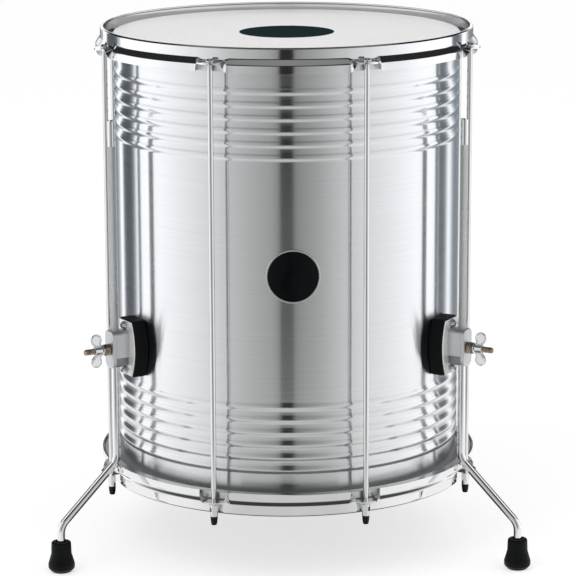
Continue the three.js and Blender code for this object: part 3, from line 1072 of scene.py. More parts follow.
@dataclass
class CounterHoop:
    """A pressed hoop: band, outward crease and skirt, with a flat ear at each rod.

    Heights are depths below the hoop's crown, and distances along the rim are taken on the
    rods' circle.
    """

    end: End
    crown: float = 9.5
    sheet: float = 2.0
    band_radius: float = 247.7
    band_height: float = 14.5
    skirt_radius: float = 253.8
    crease: float = 7.0
    skirt: float = 10.0
    underside: float = 0.45
    lip_back: float = 0.5
    lip_corner: float = 0.3
    ear_depth: float = 18.3
    ear_inset: float = 2.6
    ear_reach: float = 270.0
    ear_flat: float = 14.5
    ear_half: float = 23.0
    ear_narrowing: float = 7.0
    rod_circle: float = ROD_CIRCLE
    rods: int = RODS
    ear_stations: int = 12
    plain_stations: int = 8
    roll: float = 3.5
    roll_steps: int = 5
    crease_ease: float = 1.5
    ear_ease: float = 0.3
    crease_steps: int = 8
    corner_over: float = 62.0
    corner_round: float = 0.6

    def station(self, step: int) -> tuple[float, float]:
        """Where a step of the spin belongs.

        Args:
            step: The spin's step.

        Returns:
            The angle about the axis, and the distance along the rim from the nearest rod.
        """
        half = self.ear_stations + self.plain_stations
        sector, within = divmod(step, 2 * half)
        offset = within - half
        ear = self.ear_half / self.rod_circle
        plain = TURN / self.rods / 2.0 - ear
        share = abs(offset)
        if share <= self.ear_stations:
            angle = ear * share / self.ear_stations
        else:
            angle = ear + plain * (share - self.ear_stations) / self.plain_stations
        rod = TURN * (sector + 0.5) / self.rods - TURN / 4.0
        return rod + math.copysign(angle, offset), angle * self.rod_circle

    def section(self, distance: float) -> Profile:
        """The sheet's outline at a distance along the rim from a rod.

        Args:
            distance: The distance.

        Returns:
            Radii and depths, from the crown's outer corner inward and round.
        """
        share = (self.ear_half - distance) / (self.ear_half - self.ear_flat)
        share = min(max(share, 0.0), 1.0)
        share = share * share * (3.0 - 2.0 * share)

        def mix(plain: float, ear: float) -> float:
            """Goes from the plain hoop's value to the ear's."""
            return plain + (ear - plain) * share

        narrowing = self.ear_narrowing * min(distance / self.ear_flat, 1.0) ** 2
        length = mix(self.skirt, self.ear_reach - self.band_radius - self.ear_inset - narrowing)
        swing = share * math.pi / 2.0
        under = self.sheet * mix(self.underside, 1.0)
        back = self.sheet * mix(1.0, self.underside)
        fold_radius = mix(self.skirt_radius, self.band_radius + self.ear_inset)
        fold_depth = mix(self.band_height + self.crease, self.ear_depth)
        band = mix(self.band_height, self.ear_depth - self.sheet)
        edge_radius = fold_radius + length * math.sin(swing)
        edge_depth = fold_depth + length * math.cos(swing)
        inner = self.band_radius - self.sheet
        centre = self.band_radius - self.roll
        arc = [math.pi / 2.0 * k / self.roll_steps for k in range(self.roll_steps + 1)]
        tight = self.roll - self.sheet
        outer_roll = [(centre + self.roll * math.cos(a), self.roll * (1.0 - math.sin(a))) for a in arc]
        inner_roll = [(centre + tight * math.cos(a), self.roll - tight * math.sin(a)) for a in reversed(arc)]
        lip_radius = centre - self.lip_back
        lip = [(lip_radius, self.lip_corner), (lip_radius, self.sheet - self.lip_corner)]
        ease = mix(self.crease_ease, self.ear_ease)
        along = (ease * math.sin(swing), ease * math.cos(swing))
        inside = (fold_radius - back, fold_depth + under)
        inner_crease = curve(
            (inner, band + under - ease), (inner, band + under), inside,
            (inside[0] + along[0], inside[1] + along[1]), self.crease_steps,
        )
        outer_crease = curve(
            (fold_radius + along[0], fold_depth + along[1]), (fold_radius, fold_depth),
            (self.band_radius, band), (self.band_radius, band - ease), self.crease_steps,
        )
        edge = [
            (edge_radius - self.sheet * math.cos(swing), edge_depth + self.sheet * math.sin(swing)),
            (edge_radius, edge_depth),
        ]
        return outer_roll + lip + inner_roll + inner_crease + edge + outer_crease

    def lengthwise(self, shape: Shape, over: float) -> Edges:
        """Finds the edges that run round the hoop and turn by more than an angle.

        Args:
            shape: The hoop's mesh.
            over: The angle in degrees.

        Returns:
            The edges.
        """
        found = []
        for edge in shape.edges:
            one, two = (math.atan2(vert.co.y, vert.co.x) for vert in edge.verts)
            runs = abs(math.sin(one - two)) > TINY and len(edge.link_faces) == 2
            if runs and math.degrees(edge.calc_face_angle(0.0)) > over:
                found.append(edge)
        return found

    def build(self, datum: Datum) -> None:
        """Spins the section, presses the ears and rounds the sheet's corners.

        Args:
            datum: The drum's axis and edges.
        """
        steps = self.rods * 2 * (self.ear_stations + self.plain_stations)
        shape = bmesh.new()
        mark = shape.verts.layers.int.new("corner")
        verts = []
        for corner, (radius, depth) in enumerate(self.section(self.ear_half)):
            vert = shape.verts.new((radius, 0.0, self.crown - depth))
            vert[mark] = corner
            verts.append(vert)
        for corner in range(len(verts)):
            shape.edges.new((verts[corner], verts[(corner + 1) % len(verts)]))
        spin_round(shape, steps)
        sections: dict[int, tuple[float, Profile]] = {}
        for vert in shape.verts:
            turn = math.atan2(vert.co.y, vert.co.x) % TURN
            step = round(turn / TURN * steps) % steps
            if step not in sections:
                angle, distance = self.station(step)
                sections[step] = (angle, self.section(distance))
            angle, corners = sections[step]
            radius, depth = corners[vert[mark]]
            vert.co = (radius * math.cos(angle), radius * math.sin(angle), self.crown - depth)
        bevel(shape, self.lengthwise(shape, self.corner_over), self.corner_round)
        bmesh.ops.scale(shape, verts=shape.verts, vec=(1.0, 1.0, self.end.value))
        bmesh.ops.translate(shape, verts=shape.verts, vec=(0.0, 0.0, datum.edge(self.end)))
        word = self.end.name.lower()
        node = f"{word}_hoop"
        deliver(shape, f"{word}_counterhoop", datum.place(), "drum", HOOP_CHROME, (node,), sharp=50.0)


@dataclass
class Tensioner:
    """One tension rod with its domed head, its flanged nut and its cap."""

    number: int
    circle: float = ROD_CIRCLE
    radius: float = 3.5
    head_radius: float = 5.3
    head_base: float = 685.0
    head_height: float = 4.4
    head_wall: float = 1.6
    foot: float = 84.0
    nut_top: float = 113.0
    flange_radius: float = 5.8
    flange_height: float = 3.4
    hex_height: float = 9.2
    hex_radius: float = 5.8
    collar_radius: float = 4.8
    collar_height: float = 6.7
    overlap: float = 0.8
    cap_radius: float = 4.7
    cap_top: float = 93.4
    cap_height: float = 11.2
    cap_play: float = 0.3
    cap_floor: float = 1.5
    ribs: int = 12
    rib_depth: float = 0.18

    def rod(self) -> Shape:
        """The rod, with a washer face under its head.

        Returns:
            The closed shape.
        """
        top = self.head_base + self.head_height
        corners = [
            (0.0, self.foot, 0.0),
            (self.radius, self.foot, 0.5),
            (self.radius, self.head_base, 0.0),
            (self.head_radius, self.head_base, 0.3),
            (self.head_radius, self.head_base + self.head_wall, 0.5),
            (self.head_radius * 0.72, top - 0.5, 1.4),
            (self.head_radius * 0.3, top, 1.0),
            (0.0, top, 0.0),
        ]
        return revolve(rounded(corners, steps=3), steps=24)

    def nut(self) -> Shape:
        """The nut: a coned flange, a hexagon and a round collar.

        Returns:
            The closed shape.
        """
        hex_top = self.nut_top - self.flange_height
        hex_foot = hex_top - self.hex_height
        foot = hex_foot - self.collar_height
        flange = revolve(
            rounded([
                (0.0, hex_top - self.overlap, 0.0),
                (self.flange_radius - 1.0, hex_top - self.overlap, 0.0),
                (self.flange_radius, hex_top + 1.2, 0.4),
                (self.flange_radius, self.nut_top, 0.3),
                (0.0, self.nut_top, 0.0),
            ], steps=3), steps=32,
        )
        hexagon = bmesh.new()
        bmesh.ops.create_cone(
            hexagon, cap_ends=True, segments=6, radius1=self.hex_radius, radius2=self.hex_radius,
            depth=self.hex_height,
        )
        bmesh.ops.translate(hexagon, verts=hexagon.verts, vec=(0, 0, (hex_top + hex_foot) / 2.0))
        soften(hexagon, 0.45)
        collar = revolve(
            rounded([
                (0.0, foot, 0.0),
                (self.collar_radius, foot, 0.6),
                (self.collar_radius, hex_foot + self.overlap, 0.0),
                (0.0, hex_foot + self.overlap, 0.0),
            ], steps=3), steps=32,
        )
        return joined(flange, hexagon, collar)

    def cap(self) -> Shape:
        """The cap: tapered, ribbed and rounded at its foot.

        Returns:
            The closed shape.
        """
        low = self.cap_top - self.cap_height
        bore = self.radius + self.cap_play
        corners = [
            (0.0, low, 0.0),
            (self.cap_radius - 1.2, low, 1.6),
            (self.cap_radius - 0.35, low + 5.0, 2.0),
            (self.cap_radius, self.cap_top - 2.4, 0.0),
            (self.cap_radius, self.cap_top, 0.5),
            (bore, self.cap_top, 0.0),
            (bore, low + self.cap_floor, 0.0),
            (0.0, low + self.cap_floor, 0.0),
        ]
        cap = revolve(rounded(corners, steps=3), steps=4 * self.ribs)
        for vert in cap.verts:
            out = math.hypot(vert.co.x, vert.co.y)
            if out < self.cap_radius - 1.0 or vert.co.z > self.cap_top - 2.6:
                continue
            wave = 0.5 + 0.5 * math.cos(self.ribs * math.atan2(vert.co.y, vert.co.x))
            factor = 1.0 - self.rib_depth * wave / out
            vert.co.x *= factor
            vert.co.y *= factor
        return cap

    def build(self, datum: Datum) -> None:
        """Makes the three pieces and stands them at the rod's place.

        Args:
            datum: The drum's axis and edges.
        """
        angle = 360.0 * (self.number - 0.5) / RODS
        place = datum.place(angle) @ Matrix.Translation((0.0, -self.circle, 0.0))
        n = self.number
        deliver(self.rod(), f"rod_{n}", place, "drum", CHROME, (f"tension_rod_{n}",))
        deliver(self.nut(), f"nut_{n}", place, f"tension_nut_{n}", CHROME, (f"tension_nut_{n}",))
        deliver(self.cap(), f"cap_{n}", place, "drum", PLASTIC, (f"rod_cap_{n}",))


@dataclass
class Leg:
    """A bent leg with its rubber foot."""

    side: Side
    radius: float = 5.25
    circle: float = 263.6
    foot_circle: float = 347.8
    top: float = 596.0
    knee: float = 139.0
    ankle: float = 61.0
    foot_end: float = 6.3
    bend: float = 22.0
    tip: float = 1.6
    around: int = 24
    foot_height: float = 41.0
    sole_radius: float = 12.6
    brim_radius: float = 17.6
    neck_radius: float = 12.9
    socket_radius: float = 5.55
    socket_floor: float = 6.0

    def run(self, shape: Shape, ring: Edges, step: Vector) -> Edges:
        """Extrudes the rod's open end in a straight line.

        Args:
            shape: The rod's mesh.
            ring: The edges of its open end.
            step: How far the end goes.

        Returns:
            The edges of the new end.
        """
        grown = bmesh.ops.extrude_edge_only(shape, edges=ring)["geom"]
        moved = only(bmesh.types.BMVert, grown)
        bmesh.ops.translate(shape, verts=moved, vec=step)
        return [edge for edge in only(bmesh.types.BMEdge, grown) if set(edge.verts) <= set(moved)]

    def turn(self, shape: Shape, ring: Edges, centre: Vector, angle: float) -> Edges:
        """Bends the rod's open end round a centre, about the X axis.

        Args:
            shape: The rod's mesh.
            ring: The edges of its open end.
            centre: The centre of the bend.
            angle: The angle in radians.

        Returns:
            The edges of the new end.
        """
        verts = list({vert for edge in ring for vert in edge.verts})
        bent = bmesh.ops.spin(
            shape, geom=verts + ring, cent=centre, axis=(1, 0, 0), angle=angle, steps=10, use_merge=False,
        )
        return only(bmesh.types.BMEdge, bent["geom_last"])

    def rod(self) -> Shape:
        """The rod, from its chamfered tip to the end inside the foot.

        Returns:
            The closed shape.
        """
        shape = bmesh.new()
        bmesh.ops.create_circle(shape, cap_ends=False, radius=self.radius - self.tip, segments=self.around)
        bmesh.ops.translate(shape, verts=shape.verts, vec=(0.0, -self.circle, self.top))
        ring = shape.edges[:]
        bmesh.ops.holes_fill(shape, edges=ring, sides=self.around)
        grown = self.run(shape, ring, Vector((0.0, 0.0, -self.tip)))
        rim = list({vert for edge in grown for vert in edge.verts})
        wider = self.radius / (self.radius - self.tip)
        bmesh.ops.scale(
            shape, verts=rim, vec=(wider, wider, 1.0), space=Matrix.Translation((0.0, self.circle, 0.0)),
        )
        kick = self.foot_circle - self.circle
        drop = self.knee - self.ankle
        lean = math.atan2(kick, drop)
        cut = self.bend * math.tan(lean / 2.0)
        slant = Vector((0.0, -kick, -drop)).normalized()
        grown = self.run(shape, grown, Vector((0.0, 0.0, self.knee + cut - self.top + self.tip)))
        knee = Vector((0.0, -self.circle - self.bend, self.knee + cut))
        grown = self.turn(shape, grown, knee, -lean)
        grown = self.run(shape, grown, slant * (math.hypot(kick, drop) - 2.0 * cut))
        ankle = Vector((0.0, -self.foot_circle + self.bend, self.ankle - cut))
        grown = self.turn(shape, grown, ankle, lean)
        grown = self.run(shape, grown, Vector((0.0, 0.0, self.foot_end - self.ankle + cut)))
        bmesh.ops.holes_fill(shape, edges=grown, sides=self.around)
        bmesh.ops.recalc_face_normals(shape, faces=shape.faces)
        return shape

    def foot(self) -> Shape:
        """The foot: a bell with a rounded brim and a rounded mouth.

        Returns:
            The closed shape.
        """
        corners = [
            (0.0, 0.0, 0.0),
            (self.sole_radius, 0.0, 1.2),
            (self.brim_radius - 0.2, 5.2, 3.0),
            (self.brim_radius, 10.6, 4.0),
            (self.neck_radius + 0.6, 24.5, 10.0),
            (self.neck_radius, self.foot_height, 2.6),
            (self.socket_radius + 1.65, self.foot_height, 1.0),
            (self.socket_radius + 0.05, self.foot_height - 2.6, 0.6),
            (self.socket_radius, self.socket_floor, 0.0),
            (0.0, self.socket_floor, 0.0),
        ]
        foot = revolve(rounded(corners, steps=5), steps=48)
        bmesh.ops.translate(foot, verts=foot.verts, vec=(0.0, -self.foot_circle, 0.0))
        return foot

    def build(self, datum: Datum) -> bpy.types.Object:
        """Makes the leg and the foot, and gives the leg.

        Args:
            datum: The drum's axis and edges.

        Returns:
            The bent rod.
        """
        word = self.side.label
        place = datum.place(self.side.value)
        rod = self.rod()
        wrap(rod, self.radius, (0.0, -self.circle))
        leg = deliver(rod, f"{word}_bent_rod", place, f"{word}_leg_set", LEG_CHROME, (f"{word}_leg",))
        deliver(self.foot(), f"{word}_rubber_foot", place, f"{word}_leg_set", RUBBER, (f"{word}_foot",))
        return leg


@dataclass
class Clamp:
    """A leg clamp: rubber block, plate with saddle, screws, eyebolt, lock collar and wing nut."""

    side: Side
    up: float = 291.5
    half_height: float = 37.8
    end_half: float = 18.0
    middle_half: float = 26.5
    shell_face: float = 228.9
    block_face: float = 246.0
    plate_inner: float = 246.3
    plate_face: float = 248.3
    margin: float = 1.5
    saddle_half: float = 11.975
    saddle_height: float = 24.9
    saddle_face: float = 272.0
    saddle_top: float = 7.0
    saddle_foot: float = 9.0
    step_height: float = 14.0
    step_inset: float = 3.5
    lip: float = 5.5
    sink: float = 0.8
    overlap: float = 0.6
    screw_offset: float = 30.5
    screw_head: float = 5.3
    screw_radius: float = 2.5
    screw_end: float = 220.8
    screw_nut_radius: float = 4.6
    screw_nut_height: float = 4.0
    screw_nut_middle: float = 224.3
    eye_circle: float = 264.225
    eye_bore: float = 6.175
    eye_outer: float = 7.775
    eye_half: float = 3.5
    bolt: float = 4.0
    bolt_end: float = 308.0
    pitch: float = 1.25
    thread_depth: float = 0.55
    collar_start: float = 272.3
    collar_end: float = 280.1
    collar_radius: float = 7.7
    grooves: Point = (275.0, 277.8)
    groove_half: float = 0.7
    groove_depth: float = 0.8
    hub_start: float = 280.4
    hub_end: float = 293.6
    ear_radius: float = 8.0
    ear_offset: float = 14.6
    ear_out: float = 290.8
    ear_opening: float = 110.0
    ear_steps: int = 28
    wing_inset: float = 1.4
    wing_sheet: float = 2.8
    wing_dish: float = 0.7
    play: float = 0.3

    def barrel(self, margin: float, near: float, far: float, rows: int = 16) -> Shape:
        """A plate with straight ends and bowed sides.

        Args:
            margin: How much smaller than the block it is, all round.
            near: Distance of the inner face from the drum's axis.
            far: Distance of the outer face.
            rows: Faces along its height.

        Returns:
            The closed shape.
        """
        end = self.end_half - margin
        swell = self.middle_half - margin - end
        half = self.half_height - margin
        shape = bmesh.new()
        bmesh.ops.create_grid(shape, x_segments=8, y_segments=rows, size=1.0)
        for vert in shape.verts:
            x, y = vert.co.x, vert.co.y
            width = end + swell * (1.0 - y * y)
            vert.co = (x * width, -near, self.up + y * half)
        thicken(shape, far - near)
        return shape

    def block(self) -> Shape:
        """The rubber block, hollowed to sit on the shell.

        Returns:
            The closed shape.
        """
        block = self.barrel(0.0, self.shell_face, self.block_face)
        for vert in block.verts:
            if abs(vert.co.y + self.shell_face) < 0.01:
                vert.co.y = -math.sqrt(self.shell_face ** 2 - vert.co.x ** 2)
        soften(block, 1.5, segments=3, over=45.0)
        return block

    def plate(self) -> Shape:
        """The pressed plate on the block, in chrome lightened as a painted highlight.

        Returns:
            The closed shape.
        """
        plate = self.barrel(self.margin, self.plate_inner, self.plate_face)
        soften(plate, 0.6, over=45.0)
        return plate

    def saddle(self) -> Shape:
        """The cast saddle on the plate: a lip in front of a rounded body.

        Returns:
            The closed shape.
        """
        low = self.up - self.saddle_height
        high = self.up + self.saddle_height
        step = low + self.step_height
        half = self.saddle_half
        tongue = self.saddle_face - self.lip
        lip = slab(
            ring_corners([
                (half, low, self.saddle_foot), (half, high, self.saddle_top),
                (-half, high, self.saddle_top), (-half, low, self.saddle_foot),
            ], steps=6), near=tongue, far=self.saddle_face,
        )
        body = slab(
            ring_corners([
                (half, step, 0.6), (half, high, self.saddle_top),
                (-half, high, self.saddle_top), (-half, step, 0.6),
            ], steps=6), near=self.plate_face - self.sink, far=tongue + self.overlap,
        )
        soften(lip, 1.1, segments=3, over=50.0)
        soften(body, 0.4, over=50.0)
        return joined(lip, body)

    def step(self) -> Shape:
        """The step under the saddle's body, in dark chrome that is painted shade in the recess there.

        Returns:
            The closed shape.
        """
        low = self.up - self.saddle_height + 1.0
        high = low + self.step_height
        inner = self.saddle_half - self.step_inset
        corners = [(inner, low, 3.0), (inner, high, 0.2), (-inner, high, 0.2), (-inner, low, 3.0)]
        step = slab(
            ring_corners(corners, steps=4), near=self.plate_face - self.sink,
            far=self.saddle_face - self.lip + self.overlap,
        )
        soften(step, 0.5, over=50.0)
        return step

    def screw(self, offset: float) -> Shape:
        """A dome-headed screw with a socket, and its nut inside the shell.

        Args:
            offset: How far it sits above the clamp's middle.

        Returns:
            The closed shape.
        """
        head = self.plate_face + 0.3
        corners = [
            (0.0, self.screw_end, 0.0),
            (self.screw_radius, self.screw_end, 0.4),
            (self.screw_radius, head, 0.0),
            (self.screw_head, head, 0.3),
            (self.screw_head, head + 2.0, 1.0),
            (self.screw_head * 0.62, head + 5.2, 2.2),
            (2.4, head + 5.5, 0.3),
            (2.1, head + 3.0, 0.3),
            (0.0, head + 2.6, 0.0),
        ]
        pin = revolve(rounded(corners), steps=30)
        nut = bmesh.new()
        bmesh.ops.create_cone(
            nut, cap_ends=True, segments=6, radius1=self.screw_nut_radius, radius2=self.screw_nut_radius,
            depth=self.screw_nut_height,
        )
        bmesh.ops.translate(nut, verts=nut.verts, vec=(0, 0, self.screw_nut_middle))
        soften(nut, 0.4)
        screw = joined(pin, nut)
        lay_outward(screw, self.up + offset)
        return screw

    def eyebolt(self) -> Shape:
        """The eyebolt: a ring round the leg, and a threaded shank.

        Returns:
            The closed shape.
        """
        ring = [
            (self.eye_bore, self.up - self.eye_half, 0.5),
            (self.eye_outer, self.up - self.eye_half, 0.7),
            (self.eye_outer, self.up + self.eye_half, 0.7),
            (self.eye_bore, self.up + self.eye_half, 0.5),
        ]
        eye = revolve(ring_corners(ring), steps=48, ring=True)
        bmesh.ops.translate(eye, verts=eye.verts, vec=(0.0, -self.eye_circle, 0.0))
        root = self.eye_circle + self.eye_outer - 1.0
        core = self.bolt - self.thread_depth
        shank = revolve(
            rounded([
                (0.0, root, 0.0), (core, root, 0.0), (core, self.bolt_end, 0.9), (0.0, self.bolt_end, 0.0),
            ], steps=3), steps=24,
        )
        turns = int((self.bolt_end - self.collar_start - 1.0) / self.pitch)
        ridge = thread(core - 0.05, self.bolt, self.pitch, turns, self.collar_start)
        lay_outward(shank, self.up)
        lay_outward(ridge, self.up)
        return joined(eye, shank, ridge)

    def collar(self) -> Shape:
        """The lock collar, with two grooves for the fingers.

        Returns:
            The closed shape.
        """
        bore = self.bolt + self.play
        start, end, radius = self.collar_start, self.collar_end, self.collar_radius
        corners = [(bore, start, 0.2), (radius, start, 0.8)]
        for groove in self.grooves:
            corners += [
                (radius, groove - self.groove_half, 0.3),
                (radius - self.groove_depth, groove, 0.3),
                (radius, groove + self.groove_half, 0.3),
            ]
        corners += [(radius - 0.2, end, 0.4), (bore, end, 0.2)]
        collar = revolve(ring_corners(corners, steps=2), steps=40, ring=True)
        lay_outward(collar, self.up)
        return collar

    def wing(self, way: float) -> Shape:
        """One wing of the nut, dished on both faces.

        Args:
            way: One for the wing above the bolt, and minus one for the wing below.

        Returns:
            The wing, at the front of the drum.
        """
        root = self.bolt + self.overlap
        outline = [(self.hub_start + self.wing_inset, root)]
        opening = math.radians(self.ear_opening) / 2.0
        start = math.radians(270.0) - opening
        sweep = TURN - 2.0 * opening
        for k in range(self.ear_steps + 1):
            angle = start - sweep * k / self.ear_steps
            out = self.ear_out + self.ear_radius * math.cos(angle)
            outline.append((out, self.ear_offset + self.ear_radius * math.sin(angle)))
        outline.append((self.hub_end - self.wing_inset, root))
        half = self.wing_sheet / 2.0
        wing = slab(outline, -half, half)
        bmesh.ops.rotate(wing, verts=wing.verts, cent=(0, 0, 0), matrix=Matrix.Rotation(-math.pi / 2, 3, "Z"))
        for vert in wing.verts:
            vert.co.z = self.up + way * vert.co.z
        bmesh.ops.recalc_face_normals(wing, faces=wing.faces)
        soften(wing, 1.2, segments=4, over=50.0)
        broad = [face for face in wing.faces if abs(face.normal.x) > 0.99 and len(face.verts) > 12]
        for depth in (0.0, -self.wing_dish):
            bmesh.ops.inset_individual(wing, faces=broad, thickness=self.wing_dish, depth=depth)
        return wing

    def wing_nut(self) -> Shape:
        """The wing nut: a coned hub with two wings.

        Returns:
            The closed shape.
        """
        bore = self.bolt + self.play
        corners = [
            (bore, self.hub_start, 0.2),
            (self.bolt + 2.6, self.hub_start, 0.6),
            (self.bolt + 2.6, self.hub_start + 1.6, 0.6),
            (self.bolt + 1.7, self.hub_start + 3.2, 1.5),
            (self.bolt + 1.4, self.hub_end, 0.6),
            (bore, self.hub_end, 0.3),
        ]
        hub = revolve(ring_corners(corners), steps=40, ring=True)
        lay_outward(hub, self.up)
        return joined(hub, self.wing(1.0), self.wing(-1.0))

    def build(self, datum: Datum) -> None:
        """Makes the clamp's pieces.

        Args:
            datum: The drum's axis and edges.
        """
        word = self.side.label
        place = datum.place(self.side.value)
        deliver(self.block(), f"{word}_rubber_block", place, "drum", RUBBER, (f"{word}_clamp_block",))
        deliver(self.saddle(), f"{word}_saddle", place, "drum", SATIN, (f"{word}_clamp",))
        # The plate's lightened chrome is a painted highlight.
        deliver(self.plate(), f"{word}_plate", place, "drum", PLATE_HIGHLIGHT_CHROME)
        # The step's dark chrome is painted shade under the saddle.
        deliver(self.step(), f"{word}_cast_step", place, "drum", SHADED_STEP_CHROME)
        for height, way in (("upper", 1.0), ("lower", -1.0)):
            node = f"{word}_{height}_screw"
            deliver(self.screw(way * self.screw_offset), f"{node}_pin", place, "drum", CHROME, (node,))
        deliver(self.eyebolt(), f"{word}_threaded_eye", place, f"{word}_eyebolt", ZINC, (f"{word}_eyebolt",))
        deliver(self.collar(), f"{word}_stop_collar", place, "drum", ZINC, (f"{word}_lock_collar",))
        nut = f"{word}_wing_nut"
        deliver(self.wing_nut(), f"{word}_winged_nut", place, nut, CHROME, (nut,))


# The studio


@dataclass(frozen=True)
class View:
    """The photograph's viewpoint.

    Attributes:
        focal: Focal length in pixels.
        frame: Side of the picture in pixels.
        sensor: Side of the sensor in millimetres.
        away: How far in front of the drum's axis it stands, in millimetres.
        aside: How far to the right of the axis.
        up: How high over the floor.
        pitch: How far it looks down, in radians.
        roll: How far it's turned about its own line of sight.
        heading: How far it's turned about the drum's axis.
        clip: How far it sees, in metres.
    """

    focal: float = 2754.24
    frame: float = 576.0
    sensor: float = 36.0
    away: float = 3648.37
    aside: float = 0.80
    up: float = 1160.26
    pitch: float = 0.2205
    roll: float = -0.0034
    heading: float = -0.0099
    clip: float = 200.0

    def build(self, datum: Datum) -> None:
        """Sets up the camera.

        Args:
            datum: The drum's axis and edges.
        """
        camera = bpy.data.cameras.new("photo_view")
        camera.sensor_width = self.sensor
        camera.lens = self.focal / self.frame * self.sensor
        camera.clip_end = self.clip
        view = bpy.data.objects.new("photo_view", camera)
        bpy.context.scene.collection.objects.link(view)
        heading = Matrix.Rotation(self.heading, 4, "Z")
        spot = heading @ Vector((self.aside, -self.away, self.up)) * MILLIMETRE
        spot.y += datum.axis_y
        tilt = Matrix.Rotation(math.pi / 2.0 - self.pitch, 4, "X")
        roll = Matrix.Rotation(self.roll, 4, "Z")
        view.matrix_world = Matrix.Translation(spot) @ heading @ tilt @ roll
        bpy.context.scene.camera = view


@dataclass(frozen=True)
class Lamp:
    """A square soft lamp that looks at the drum's middle.

    Attributes:
        name: Its name.
        spot: Where it hangs, in metres.
        power: Its power in watts.
        width: Its side in metres.
        aim: Height that it looks at.
    """

    name: str
    spot: Corner
    power: float
    width: float
    aim: float = 0.35

    def hang(self, mirrored: bool = False) -> bpy.types.Object:
        """Hangs the lamp.

        Args:
            mirrored: True where bright metal mirrors the lamp.

        Returns:
            The lamp.
        """
        light = bpy.data.lights.new(self.name, "AREA")
        light.energy = self.power
        light.size = self.width
        lamp = bpy.data.objects.new(self.name, light)
        bpy.context.scene.collection.objects.link(lamp)
        lamp.location = self.spot
        look = Vector((0.0, 0.0, self.aim)) - Vector(self.spot)
        lamp.rotation_euler = look.to_track_quat("-Z", "Y").to_euler()
        lamp.visible_glossy = mirrored
        return lamp


